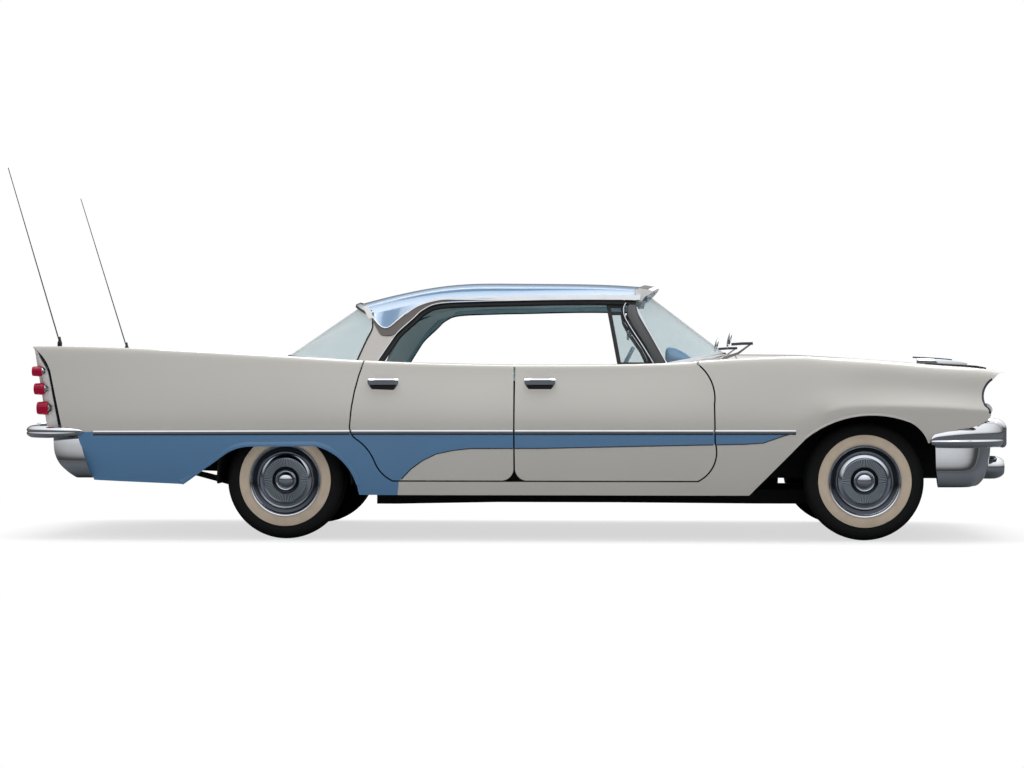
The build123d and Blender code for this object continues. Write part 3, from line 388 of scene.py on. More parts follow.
def block(x0, x1, y0, y1, z0, z1, soften=0, segments=3):
    """A block between two corners, its edges rounded by soften."""
    bm = plan_prism([(x0, y0), (x1, y0), (x1, y1), (x0, y1)], z0, z1)
    return bevelled(bm, soften, segments) if soften else bm


def circle(radius, height=None, steps=8, whole=0, centre=(0, 0)):
    """Points of a ring. With whole=1 its last point repeats the first."""
    turns = [2 * math.pi * k / steps for k in range(steps + whole)]
    return [(centre[0] + radius * math.cos(turn), centre[1] + (height or radius) * math.sin(turn))
            for turn in turns]


def turned(profile, centre, axis=(0, 1, 0), steps=72, start=(0, 0, 1)):
    """A profile of (distance along the axis, radius), spun all the way round."""
    bm = bmesh.new()
    line, out = Vector(axis).normalized(), Vector(start)
    out = (out - out.dot(line) * line).normalized()
    verts = [bm.verts.new(mm(*(Vector(centre) + line * a + out * r))) for a, r in profile]
    edges = [bm.edges.new(pair) for pair in zip(verts, verts[1:])]
    bmesh.ops.spin(bm, geom=verts + edges, cent=mm(*centre), axis=line, angle=2 * math.pi,
                   steps=steps, use_merge=True)
    bmesh.ops.remove_doubles(bm, verts=bm.verts, dist=1e-6)
    bmesh.ops.recalc_face_normals(bm, faces=bm.faces)
    return bm


def swept(spine, profile, out):
    """A closed profile of (across, out) carried along spine, or one profile for each point."""
    sections = []
    for i, point in enumerate(spine):
        ahead = Vector(spine[min(i + 1, len(spine) - 1)]) - Vector(spine[max(i - 1, 0)])
        across = ahead.cross(Vector(out).normalized()).normalized()
        away = across.cross(ahead).normalized()
        shape = profile[i] if isinstance(profile[0], list) else profile
        sections.append([Vector(point) + across * a + away * o for a, o in shape])
    return skinned(sections)


def joined(*parts):
    """Several meshes as one."""
    bm = bmesh.new()
    for part in parts:
        mesh = bpy.data.meshes.new("part")
        part.to_mesh(mesh)
        part.free()
        bm.from_mesh(mesh)
        bpy.data.meshes.remove(mesh)
    return bm


# %% [markdown]
# ## From mesh to piece
# A piece gets its finish, its smooth shading with creases kept, and the CAD body it rides on.
# A pair is made once on the left and mirrored to the right, where its faces are turned back
# the right way out. Tools used for cutting are thrown away at once.


# %% Pieces, pairs and cuts
def add_object(name, bm):
    mesh = bpy.data.meshes.new(name)
    bm.to_mesh(mesh)
    bm.free()
    obj = bpy.data.objects.new(name, mesh)
    bpy.context.scene.collection.objects.link(obj)
    return obj


def bake(obj):
    graph = bpy.context.evaluated_depsgraph_get()
    mesh = bpy.data.meshes.new_from_object(obj.evaluated_get(graph), depsgraph=graph)
    obj.modifiers.clear()
    obj.data = mesh


def modify(obj, kind, **settings):
    modifier = obj.modifiers.new(kind.lower(), kind)
    for key, value in settings.items():
        setattr(modifier, key, value)
    bake(obj)
    return obj


def subdivided(obj, levels):
    return modify(obj, "SUBSURF", levels=levels, render_levels=levels)


def drop(*objects):
    for obj in objects:
        bpy.data.objects.remove(obj)


def mirror_copy(obj, name):
    twin = bpy.data.objects.new(name, obj.data.copy())
    bpy.context.scene.collection.objects.link(twin)
    twin.data.transform(Matrix.Scale(-1, 4, (0, 1, 0)))
    twin.data.flip_normals()
    return twin


def settle(obj, body, slot, material=None, crease=32, replaces=()):
    if material:
        obj.data.materials.clear()
        obj.data.materials.append(material)
    obj.data.polygons.foreach_set("use_smooth", [True] * len(obj.data.polygons))
    obj.data.set_sharp_from_angle(angle=math.radians(crease))
    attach(obj, body)
    if replaces:
        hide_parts(*replaces)
    return obj


def add(name, bm, material=CHROME, slot="chrome", body="body", crease=32, replaces=(), smooth=0):
    obj = add_object(name, bm)
    if smooth:
        subdivided(obj, smooth)
    return settle(obj, body, slot, material, crease, replaces)


def settle_pair(obj, body, slot, material=None, crease=32, replaces=()):
    """Settles a left piece and its mirror image. A body or node name with {} takes the side."""
    twin = mirror_copy(obj, obj.name.replace("_left", "_right"))
    for one, side in ((obj, "left"), (twin, "right")):
        settle(one, body.format(side), slot, material, crease, [n.format(side) for n in replaces])
    return obj, twin


def add_pair(name, bm, material=CHROME, slot="chrome", body="body", crease=32, replaces=()):
    return settle_pair(add_object(name + "_left", bm), body, slot, material, crease, replaces)


def reworked(obj, change):
    """The object after a change to its mesh."""
    bm = bmesh.new()
    bm.from_mesh(obj.data)
    change(bm)
    bm.to_mesh(obj.data)
    bm.free()
    return obj


def weld(distance):
    return lambda bm: bmesh.ops.remove_doubles(bm, verts=bm.verts, dist=distance)


def carve(base, keep=None, remove=(), name="carved"):
    """A copy of base, kept inside one tool and emptied of others."""
    obj = bpy.data.objects.new(name, base.data.copy())
    bpy.context.scene.collection.objects.link(obj)
    for tool, operation in ([(keep, "INTERSECT")] if keep else []) + [(t, "DIFFERENCE") for t in remove]:
        modify(obj, "BOOLEAN", operation=operation, object=tool, solver="EXACT", material_mode="TRANSFER")
    return obj


# %% [markdown]
# ## The body as one smooth volume
# Steel panels of such a car flow into one another, so the whole body is first made as one
# volume and cut into panels after. Its sections are the CAD model's own, from tail to nose.
# A subdivision surface falls a little short of its cage, so the cage is pushed out until the
# smooth surface passes through the drawn points. Two smaller volumes, carried below the sill,
# empty the panels and limit what lies inside them.

# %% Body sections
# x | z, y of the sill | of the waist | of the shoulder | of the crown | z of the seam at 640
# | z at the centre line | bulge of lower side, upper side, slope from crown to seam, deck
STATIONS = [
    (XR - 1460, 354, 848, 600, 924, 1010, 899, 1064, 875, 839, 858, 8, 5, -60, 6),
    (XR - 1000, 325, 880, 592, 966, 1008, 916, 1059, 884, 893, 925, 10, 7, -48, 10),
    (XR - 450, 300, 895, 594, 985, 985, 926, 1039, 888, 953, 985, 10, 10, -30, 14),
    (XR + 50, 262, 900, 596, 990, 962, 930, 1015, 890, 985, 1022, 10, 12, -12, 14),
    (XR + 450, 249, 902, 597, 991, 945, 928, 992, 892, 986, 1028, 10, 12, -4, 14),
    (XF - 1922, 249, 903, 597, 991, 925, 925, 969, 892, 966, 1028, 10, 12, -3, 14),
    (XF - 1120, 249, 903, 598, 991, 930, 925, 976, 890, 968, 1032, 10, 12, -4, 14),
    (XF - 840, 249, 902, 599, 991, 945, 927, 994, 887, 972, 1036, 10, 11, -6, 14),
    (XF - 430, 250, 900, 603, 991, 964, 930, 1013, 882, 974, 1034, 10, 9, -9, 14),
    (XF - 240, 252, 895, 682, 992, 962, 931, 1010, 880, 970, 1028, 9, 3, -10, 14),
    (XF - 80, 255, 890, 729, 993, 957, 931, 1002, 877, 963, 1018, 8, -5, -10, 14),
    (XF + 120, 258, 884, 735, 993, 948, 928, 988, 873, 951, 1004, 8, -10, -10, 14),
    (XF + 420, 265, 868, 727, 984, 924, 917, 964, 860, 928, 978, 8, -12, -9, 14),
    (XF + 630, 273, 843, 714, 957, 908, 896, 950, 843, 900, 946, 8, -12, -9, 13),
    (XF + 780, 280, 825, 704, 936, 880, 880, 920, 832, 880, 922, 8, -12, -8, 12),
]
SEAM_Y = 640                # hood and trunk lid end here
RIDGE_START = 9             # the station where the front fender's ridge begins
RIDGE_CREASE = 0.8
SKIN_WALL, INNER_PARTS_INSET, LAMP_PANEL_INSET = 16, 27, 20
BELOW_SILL = 60


def bulged(a, b, bulge):
    """The middle of a line, moved out by bulge."""
    (ya, za), (yb, zb) = a, b
    length = math.hypot(yb - ya, zb - za)
    return (ya + yb) / 2 + bulge * (zb - za) / length, (za + zb) / 2 - bulge * (yb - ya) / length


def section(row, inset, deep):
    """One closed section of the body, drawn in by inset and carried deep below the sill."""
    x, zs, ys, zw, yw, zh, yh, zc, yc, z_seam, z_mid, low, up, slope, deck = row
    sill, waist = (ys - inset, zs), (yw - inset, zw)
    shoulder, crown = (yh - inset, zh - 0.3 * inset), (yc - 0.6 * inset, zc - inset)
    seam, middle = (SEAM_Y, z_seam - inset), (0, z_mid - inset)
    half = [(ys - inset, zs - deep), sill, bulged(sill, waist, low), waist, bulged(waist, shoulder, up),
            shoulder, crown, bulged(crown, seam, slope), seam, bulged(seam, middle, deck)]
    half = half if deep else half[1:]
    return [(x, y, z) for y, z in half + [middle] + [(-y, z) for y, z in reversed(half)]]


def fitted(cage, levels):
    """Pushes a cage out until its subdivision surface passes through the cage's own points."""
    smooth = cage.modifiers.new("smooth", "SUBSURF")
    smooth.levels = smooth.render_levels = levels
    targets = [v.co.copy() for v in cage.data.vertices]
    for _ in range(6):
        surface = cage.evaluated_get(bpy.context.evaluated_depsgraph_get()).data
        for v, target in zip(cage.data.vertices, targets):
            v.co += target - surface.vertices[v.index].co
        cage.data.update()
    bake(cage)
    return cage


def close_ends(bm):
    bmesh.ops.holes_fill(bm, edges=[e for e in bm.edges if e.is_boundary])
    bmesh.ops.recalc_face_normals(bm, faces=bm.faces)


def smooth_volume(name, rings, levels, sharp, ridge=None):
    """Rings of points made into one smooth closed volume. Its first sharp lines from the foot keep
    their edge, and so does the third, more softly, from the ring numbered ridge onwards."""
    bm = skinned(rings, caps=False)
    crease = bm.edges.layers.float.new("crease_edge")
    count = len(rings[0])
    bm.verts.ensure_lookup_table()
    for edge in bm.edges:
        ring_a, ring_b = (v.index // count for v in edge.verts)
        point = edge.verts[0].index % count
        from_foot = min(point, count - 1 - point)
        if ring_a != ring_b and from_foot < sharp:
            edge[crease] = 1.0
        elif ring_a != ring_b and from_foot == 2 and ridge is not None and min(ring_a, ring_b) >= ridge:
            edge[crease] = RIDGE_CREASE
    return reworked(fitted(add_object(name, bm), levels), close_ends)


def body_volume(name, rows, inset, deep, levels, ridge=None):
    return smooth_volume(name, [section(row, inset, deep) for row in rows], levels, 2 if deep else 1, ridge)


body_hull = body_volume("body_hull", STATIONS, 0, 0, 3, RIDGE_START)
first, last = STATIONS[0], STATIONS[-1]
INNER_ROWS = [(first[0] - 100, *first[1:]), *STATIONS[:-1:2], last, (last[0] + 100, *last[1:])]
inner_hull = body_volume("inner_hull", INNER_ROWS, SKIN_WALL, BELOW_SILL, 2)
deep_hull = body_volume("deep_hull", INNER_ROWS, INNER_PARTS_INSET, BELOW_SILL, 1)
body_hull.data.materials.append(PAINT)
inner_hull.data.materials.append(UNDERBODY)
print("body volume:", len(body_hull.data.polygons), "faces; inner:", len(inner_hull.data.polygons))

# %% [markdown]
# ## Outlines of the panels
# Each panel is known by its outline in side view or plan. Lines are pairs of points and arcs
# are triples, as on the CAD drawing; the arcs are drawn here in fine steps.


# %% Outline tools and side-view outlines
def arc(start, middle, end, step=5):
    (ax, az), (bx, bz), (cx, cz) = start, middle, end
    d = 2 * (ax * (bz - cz) + bx * (cz - az) + cx * (az - bz))
    a, b, c = ax * ax + az * az, bx * bx + bz * bz, cx * cx + cz * cz
    ox = (a * (bz - cz) + b * (cz - az) + c * (az - bz)) / d
    oz = (a * (cx - bx) + b * (ax - cx) + c * (bx - ax)) / d
    first, last = math.atan2(az - oz, ax - ox), math.atan2(cz - oz, cx - ox)
    turn = (last - first) % (2 * math.pi) - (0 if d > 0 else 2 * math.pi)
    radius, steps = math.hypot(ax - ox, az - oz), max(3, math.ceil(abs(math.degrees(turn)) / step))
    turns = [first + turn * i / steps for i in range(1, steps)]
    return [(ox + radius * math.cos(t), oz + radius * math.sin(t)) for t in turns] + [end]


def outline(start, *legs):
    """Points from start along legs: one point for a line, two for an arc's middle and end."""
    points = [start]
    for leg in legs:
        points += arc(points[-1], *leg) if isinstance(leg[0], tuple) else [leg]
    return points


TOP, BELOW = 1200, 100
B_LINE = XF - 1922
NOSE = outline((XF + 695, 888), ((XF + 640, 790), (XF + 651, 739)), ((XF + 675, 706), (XF + 657, 666)),
               ((XF + 600, 634), (XF + 506, 618)), (XF + 338, 553), (XF + 338, BELOW), (XF + 1000, BELOW),
               (XF + 1000, 924), (XF + 734, 924))
TAIL_EDGE = outline((XR - 1407, 1080), (XR - 1407, 1066), ((XR - 1335, 994), (XR - 1304, 930)),
                    (XR - 1232, 619), (XR - 1150, 600), (XR - 1058, 300), (XR - 1058, BELOW))
TAIL = TAIL_EDGE + [(XR - 1700, BELOW), (XR - 1700, 1080)]
FRONT_ARCH = outline((XF - 636, BELOW), (XF - 636, 250), (XF - 333, 564), ((XF - 45, 688), (XF + 236, 654)),
                     ((XF + 300, 605), (XF + 338, 540)), (XF + 338, BELOW))
REAR_ARCH = outline((XR - 567, BELOW), (XR - 567, 306), (XR - 331, 469), ((XR - 262, 505), (XR - 156, 520)),
                    (XR + 181, 523), ((XR + 315, 455), (XR + 406, 308)), (XR + 450, BELOW))
FRONT_DOOR = outline((XF - 921, TOP), (XF - 921, 970), ((XF - 848, 880), (XF - 830, 750)), (XF - 827, 542),
                     ((XF - 848, 390), (XF - 916, 331)), (B_LINE + 63, 331),
                     ((B_LINE + 22, 351), (B_LINE + 4, 398)), (B_LINE + 4, TOP))
REAR_DOOR = outline((B_LINE - 4, TOP), (B_LINE - 4, 398), ((B_LINE - 22, 351), (B_LINE - 68, 331)),
                    (XR + 607, 331), ((XR + 553, 370), (XR + 512, 437)), ((XR + 472, 508), (XR + 410, 564)),
                    ((XR + 384, 598), (XR + 379, 640)), ((XR + 403, 828), (XR + 450, 991)), (XR + 450, TOP))
OPENING = outline((452, -811), ((839, 0), (452, 811)), (-1132, 811), ((-1667, 0), (-1132, -811)))


def moved(points, dx):
    return [(x + dx, z) for x, z in points]


def grown(points, gap):
    """A closed outline moved outwards by gap, corner by corner."""
    area = sum(ax * bz - bx * az for (ax, az), (bx, bz) in zip(points, points[1:] + points[:1]))
    side, out = math.copysign(1, area), []
    for (ax, az), (bx, bz), (cx, cz) in zip(points[-1:] + points[:-1], points, points[1:] + points[:1]):
        before, after = Vector((bx - ax, bz - az)).normalized(), Vector((cx - bx, cz - bz)).normalized()
        n0, n1 = Vector((before.y, -before.x)) * side, Vector((after.y, -after.x)) * side
        mean = (n0 + n1).normalized()
        shift = mean * gap / max(mean.dot(n0), 0.5)
        out.append((bx + shift.x, bz + shift.y))
    return out


print("door outlines:", len(FRONT_DOOR), "and", len(REAR_DOOR), "points")

# %% [markdown]
# ## Cutting the panels
# Real panels are stamped apart and meet at thin shut lines. Here each is the part of the
# body volume inside its outline, with the inner volume taken away so that a wall is left. A
# door is left solid, as thick as the whole side, because its inner face carries the trim.
# The boolean keeps the inner volume's black on the inside faces.

# %% Tools for cutting
WIDE, ARCH_DEPTH, DOOR_DEPTH, SHUT_GAP = 1100, 500, 412, 8
LID_REAR = moved(TAIL, -70)   # the trunk lid and the valance end further back than the fins' edge
nose_tool = add_object("nose_tool", side_prism(NOSE, -WIDE, WIDE))
tail_tool = add_object("tail_tool", side_prism(TAIL, -WIDE, WIDE))
deck_tool = add_object("deck_tool", side_prism(LID_REAR, -WIDE, WIDE))
front_arch_tool, rear_arch_tool = (add_object("arch_tool", side_prism(arch, ARCH_DEPTH, WIDE))
                                   for arch in (FRONT_ARCH, REAR_ARCH))
front_gap, rear_gap = (add_object("gap_tool", side_prism(grown(door, SHUT_GAP), DOOR_DEPTH, WIDE))
                       for door in (FRONT_DOOR, REAR_DOOR))
opening_tool = add_object("opening_tool", plan_prism(OPENING, 700, 1300))


def cut_panel(name, region, remove, hollow=True):
    keep = add_object("keep", region)
    panel = carve(body_hull, keep, ([inner_hull] if hollow else []) + list(remove), name)
    drop(keep)
    return panel


WELD = weld(2e-5)


def finish_panel(panel, body, nodes, slot="cream_paint"):
    return settle(reworked(panel, WELD), body, slot, crease=28, replaces=nodes)


def finish_panels(panel, body, nodes):
    settle_pair(reworked(panel, WELD), body, "cream_paint", crease=28, replaces=nodes)
    print(panel.name, len(panel.data.polygons), "faces on each side")


# %% Fenders and quarters
DOOR_INNER, SEAM_IN, SEAM_OUT = 812, SEAM_Y - 3, SEAM_Y + 3
FENDER_START, NOSE_END, TAIL_END = 919, 2500, -3100


def flank(x0, step, x1):
    """The plan of a flank that is as thin as a door up to step, and reaches in to the seam from there."""
    return plan_prism([(x0, DOOR_INNER), (step, DOOR_INNER), (step, SEAM_OUT), (x1, SEAM_OUT), (x1, WIDE),
                       (x0, WIDE)], 0, TOP)


fender = cut_panel("fender_skin_left", flank(692, FENDER_START, NOSE_END),
                   [front_gap, nose_tool, front_arch_tool])
finish_panels(fender, "body", ["fender_{}"])
quarter = cut_panel("quarter_skin_left", flank(-960, -1400, TAIL_END),
                    [rear_gap, tail_tool, rear_arch_tool, opening_tool])
finish_panels(quarter, "body", ["quarter_panel_{}"])


# %% Doors
def door_region(points, lean=25):
    """The outline at the skin, drawn in a little on the trim side so that the edge can swing."""
    xs = [x for x, z in points]
    middle, half = (max(xs) + min(xs)) / 2, (max(xs) - min(xs)) / 2
    return skinned([[(x - lean * drawn * (x - middle) / half, y, z) for x, z in points]
                    for y, drawn in ((836, 1), (868, 0.42), (905, 0.05), (1005, 0))])


for name, points in (("front", FRONT_DOOR), ("rear", REAR_DOOR)):
    panel = cut_panel(f"{name}_door_skin_left", door_region(points), [], hollow=False)
    finish_panels(panel, name + "_door_{}", ["door_" + name + "_{}"])

# %% Hood, cowl, deck, trunk lid and rockers
def across(x0, x1, half_width, z0, z1=TOP):
    """A region as wide as the car's middle or its whole width."""
    return plan_prism([(x0, -half_width), (x1, -half_width), (x1, half_width), (x0, half_width)], z0, z1)


finish_panel(cut_panel("hood_skin", across(925, NOSE_END, SEAM_IN, 600), [nose_tool]), "hood", ["hood"])
cowl = cut_panel("cowl_skin", across(450, FENDER_START, DOOR_INNER, 880), [opening_tool])
finish_panel(cowl, "body", ["cowl"])
DECK_HALF = [(-1754, SEAM_OUT), (-1400, SEAM_OUT), (-1400, DOOR_INNER), (-1180, DOOR_INNER)]
deck_plan = [(x, -y) for x, y in DECK_HALF] + DECK_HALF[::-1]
finish_panel(cut_panel("deck_skin", plan_prism(deck_plan, 700, TOP), [opening_tool]), "body", ["trunk_well"])
LID_REGION = (TAIL_END, -1760, SEAM_IN, 645)
finish_panel(cut_panel("trunk_lid_skin", across(*LID_REGION), [deck_tool]), "trunk_lid", ["trunk_lid"])


def tail_wall(name, region):
    """The panel that closes the tail, one skin thick."""
    band = add_object("band", side_prism(moved(LID_REAR, SKIN_WALL), -WIDE, WIDE))
    keep = add_object("keep", region)
    whole = carve(body_hull, keep, [deck_tool], name)
    panel = carve(whole, band, [], name)
    drop(band, keep, whole)
    return panel


finish_panel(tail_wall("trunk_lid_tail", across(*LID_REGION)), "trunk_lid", [])
finish_panel(tail_wall("tail_valance", across(TAIL_END, -2600, SEAM_OUT, 498, 639)), "body", [])
ROCKER_PLAN = [(-960, DOOR_INNER), (692, DOOR_INNER), (692, WIDE), (-960, WIDE)]
finish_panels(cut_panel("rocker_left", plan_prism(ROCKER_PLAN, 239, 323), [], hollow=False), "body", [])
drop(nose_tool, tail_tool, deck_tool, front_arch_tool, rear_arch_tool, front_gap, rear_gap, opening_tool)

# %% [markdown]
# ## What the skins hid
# The CAD panels also carry aprons, wheel houses, the firewall and the floor. Their shapes are
# right as they are, so a welded copy of each node keeps only what lies inside the body
# volume, painted underbody black.


# %% Inner parts from the CAD nodes
def welded_copy(node):
    copy = bpy.data.objects.new("copy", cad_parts[node].data.copy())
    bpy.context.scene.collection.objects.link(copy)
    copy.data.materials.clear()
    copy.data.materials.append(UNDERBODY)
    return reworked(copy, weld(1e-5))


for node in ("fender_left", "quarter_panel_left", "cowl", "trunk_well"):
    copy = welded_copy(node)
    paired = "_left" in node
    inner = carve(copy, deep_hull, [], node.replace("_left", "") + "_inner" + "_left" * paired)
    (settle_pair if paired else settle)(inner, "body", "underbody_black", UNDERBODY, 20)
    drop(copy)
copy = welded_copy("floor_pan")
keep = add_object("keep", block(-1700, 1200, 0.5 - DOOR_INNER, DOOR_INNER - 0.5, 0, TOP))
settle(carve(copy, keep, [], "floor_inner"), "body", "underbody_black", UNDERBODY, 20, ["floor_pan"])
drop(copy, keep)
print("inner parts kept from the CAD")

# %% [markdown]
# ## Reading the skin's own place
# Trim has to follow the painted surface. A ray sent inwards from beside the car finds where
# the skin is at a given height and station, so a moulding is drawn in side view only.

# %% Skin finder
hull_mesh = bmesh.new()
hull_mesh.from_mesh(body_hull.data)
hull_tree = BVHTree.FromBMesh(hull_mesh)
hull_mesh.free()


def skin(x, z, out=0):
    """The point of the left skin at a station and height, moved outwards."""
    hit = hull_tree.ray_cast(mm(x, 1500, z), Vector((0, -1, 0)))[0]
    return Vector((x, hit.y * 1000 + out, z) if hit else (x, 900, z))


def deck_point(x, y, up=0):
    """The point of the top skin at a station and side, moved upwards."""
    hit = hull_tree.ray_cast(mm(x, y, 1500), Vector((0, 0, -1)))[0]
    return Vector((x, y, hit.z * 1000 + up))


def read_off(table, value):
    """The height of a line of points at value, held at both ends."""
    value = max(table[0][0], min(table[-1][0], value))
    for (x0, y0), (x1, y1) in zip(table, table[1:]):
        if x0 <= value <= x1:
            return y0 + (y1 - y0) * (value - x0) / (x1 - x0)


def stepped(points, step=40):
    """More points along the lines between points."""
    out = [points[0]]
    for (ax, az), (bx, bz) in zip(points, points[1:]):
        count = max(1, math.ceil(math.hypot(bx - ax, bz - az) / step))
        out += [(ax + (bx - ax) * i / count, az + (bz - az) * i / count) for i in range(1, count + 1)]
    return out


def side_strip(points, profile):
    """A moulding along a side-view line, on the skin."""
    return swept([skin(x, z) for x, z in stepped(points)], profile, (0, 1, 0))


# %% [markdown]
# ## The long chrome line, the sweep's edge and the arch lips
# A low bright moulding runs at the waist from the rear bumper to a point on the front fender, broken at each
# door gap. Under it lies a thin dark bead that paints the moulding's shadow, and a bead of the same profile
# in dark metal follows the sweep's lower edge. The wheel arches have a flanged lip.

# %% Side mouldings
MOULDING = [(-10, -4), (-9.5, 0), (-6, 2.6), (0, 3.6), (6, 2.6), (9.5, 0), (10, -4)]
BEAD = [(-3.5, -2), (-2.5, 2), (0, 3), (2.5, 2), (3.5, -2)]
GAPS = [(-2653, -1226, "body"), (-1214, B_LINE - 6, "rear_door_{}"), (B_LINE + 6, 766, "front_door_{}"),
        (778, 1215, "body")]
WAIST_LINE = [(-2653, 594), (-1200, 599), (1215, 601)]
SWEEP_LINE = [(x, z) for x, z in SWEEP if x > -950]
UNDER_WAIST = 13


def clipped(points, x0, x1):
    """The part of a line of points, ordered by x, between two stations."""
    out = []
    for (ax, az), (bx, bz) in zip(points, points[1:]):
        lo, hi = max(ax, x0), min(bx, x1)
        if lo < hi:
            ends = [(x, az + (bz - az) * (x - ax) / (bx - ax)) for x in (lo, hi)]
            out += ends[1:] if out and abs(out[-1][0] - lo) <= 0.5 else ends
    return out


for number, (x0, x1, body) in enumerate(GAPS, 1):
    waist, edge = clipped(WAIST_LINE, x0, x1), clipped(SWEEP_LINE, x0, x1)
    add_pair(f"waist_moulding_{number}", side_strip(waist, MOULDING), body=body)
    # A dark bead just under the moulding: a painted shadow of the moulding.
    under = [(x, z - UNDER_WAIST) for x, z in waist]
    add_pair(f"waist_bead_{number}", side_strip(under, BEAD), SEAL, "underbody_black", body)
    if len(edge) > 1:
        add_pair(f"sweep_bead_{number}", side_strip(edge, BEAD), DARK_METAL_AND_SHADE, body=body)
LIP = [(-3, -12), (-3, 3), (4, 7), (20, 6), (33, -1), (33, -12)]
THIN_LIP = [(-2, -12), (-2, 2), (2, 4), (10, 2), (14, -3), (14, -12)]
add_pair("rear_arch_lip", side_strip([p for p in REAR_ARCH if p[1] > 290], LIP), PAINT, "blue_paint")
add_pair("front_arch_lip", side_strip([p for p in FRONT_ARCH if p[1] > 245], THIN_LIP), PAINT, "cream_paint")
print("side mouldings done")

# %% [markdown]
# ## The roof and its pillars
# The roof is a shallow dome whose edge curves in plan over the two wrap-around panes. It is
# made as the body was: a smooth volume, emptied by a smaller one. The hardtop has no post
# between its doors, so brushed mouldings carry the line from windshield to rear pillar.

# %% Roof shell
# x | z at the centre line | z, y of the corner | z, y of the rail
ROOF_ROWS = [
    (XR + 336, 1330, 1288, 560, 1212, 682),
    (XF - 2400, 1430, 1394, 605, 1318, 716),
    (XF - 1940, 1448, 1414, 610, 1342, 719),
    (XF - 1450, 1441, 1408, 600, 1350, 708),
    (XF - 1135, 1420, 1388, 560, 1336, 668),
]


def roof_section(row, inset, ahead=0, down=0):
    """One closed section of the roof, drawn in by inset and moved."""
    x, z_mid, z_corner, y_corner, z_rail, y_rail = row
    rail, corner = (y_rail - inset, z_rail), (y_corner - 0.5 * inset, z_corner - 0.8 * inset)
    middle = (0, z_mid - inset)
    half = [(rail[0], z_rail - 2 * inset - 14), rail, bulged(rail, corner, 12), corner,
            bulged(corner, middle, 9)]
    return [(x + ahead, y, z - down) for y, z in half + [middle] + [(-y, z) for y, z in reversed(half)]]


def roof_volume(name, inset, levels):
    beyond = 60 + inset
    rings = [roof_section(ROOF_ROWS[0], inset, -beyond, 30), *(roof_section(row, inset) for row in ROOF_ROWS),
             roof_section(ROOF_ROWS[-1], inset, beyond, 6)]
    return smooth_volume(name, rings, levels, 2)


ROOF_EDGE = outline((XF - 1208, 760), ((XF - 1160, 400), (XF - 1135, 0)),
                    ((XF - 1160, -400), (XF - 1208, -760)), (XR + 480, -760),
                    ((XR + 378, -400), (XR + 336, 0)), ((XR + 378, 400), (XR + 480, 760)))
roof_outer = roof_volume("roof_outer", 0, 3)
roof_inner = roof_volume("roof_inner", 30, 2)
roof_outer.data.materials.append(ROOF_PAINT)
roof_inner.data.materials.append(HEADLINING)
keep = add_object("keep", plan_prism(ROOF_EDGE, 1100, 1500))
roof = carve(roof_outer, keep, [roof_inner], "roof_skin")
drop(keep, roof_outer, roof_inner)
finish_panel(roof, "body", ["roof"], "blue_paint")
print("roof:", len(roof.data.polygons), "faces")


# %% Points on the greenhouse side
def house(x, z, out=0):
    """A point on the leaning plane of the side windows."""
    return Vector((x, 822 - (z - 940) * 116 / 405 + out, z))


HOUSE_OUT = Vector((0, 405, 116)).normalized()


def house_strip(points, profile, out=0):
    return swept([house(x, z, out) for x, z in points], profile, HOUSE_OUT)


# %% Rail mouldings and seals
RAIL_LINE = [(348, 1330), (265, 1333), (95, 1335), (-76, 1334), (-300, 1329), (-511, 1325), (-747, 1314),
             (-841, 1278), (-902, 1223), (-979, 1152), (-1024, 1089), (-1092, 985)]
BLUE_EDGE = [(372, 1359), (283, 1360), (95, 1361), (-77, 1361), (-301, 1358), (-511, 1353), (-748, 1342),
             (-865, 1306), (-942, 1255), (-989, 1215), (-1027, 1182), (-1058, 1176)]


def smooth_line(points, steps=6):
    """A line through points, rounded by a Catmull-Rom curve."""
    ends = [points[0], *points, points[-1]]
    out = []
    for a, b, c, d in zip(ends, ends[1:], ends[2:], ends[3:]):
        for i in range(steps):
            t = i / steps
            out.append(tuple(0.5 * (2 * q + (r - p) * t + (2 * p - 5 * q + 4 * r - s) * t * t
                                    + (3 * q - p - 3 * r + s) * t ** 3) for p, q, r, s in zip(a, b, c, d)))
    return out + [points[-1]]


def beside(line, side):
    """A line of points moved sideways."""
    out = []
    for (ax, az), (bx, bz), (cx, cz) in zip(line[:1] + line[:-1], line, line[1:] + line[-1:]):
        run = Vector((cx - ax, cz - az)).normalized()
        out.append((bx + run.y * side, bz - run.x * side))
    return out


def thickened(bm, thick):
    """Gives a sheet on the greenhouse side a back face, set in by thick."""
    return pull_faces(bm, -HOUSE_OUT * thick / 1000)


def share_of(line, share):
    """The point at a share of a line's length."""
    lengths = [0]
    for a, b in zip(line, line[1:]):
        lengths.append(lengths[-1] + math.dist(a, b))
    want = share * lengths[-1]
    for (ax, az), (bx, bz), s0, s1 in zip(line, line[1:], lengths, lengths[1:]):
        if s1 >= want:
            t = (want - s0) / max(s1 - s0, 1e-6)
            return ax + (bx - ax) * t, az + (bz - az) * t
    return line[-1]


def bridged(near, far, closed=False):
    """A sheet between two loops of points."""
    bm = bmesh.new()
    bmesh.ops.bridge_loops(bm, edges=loop(bm, near, closed) + loop(bm, far, closed))
    return bm


def between(upper, lower, thick, steps=60, out=0):
    """A band on the greenhouse plane between two lines of points."""
    rows = [[house(*share_of(line, i / steps), out) for i in range(steps + 1)] for line in (upper, lower)]
    return thickened(bridged(*rows), thick)


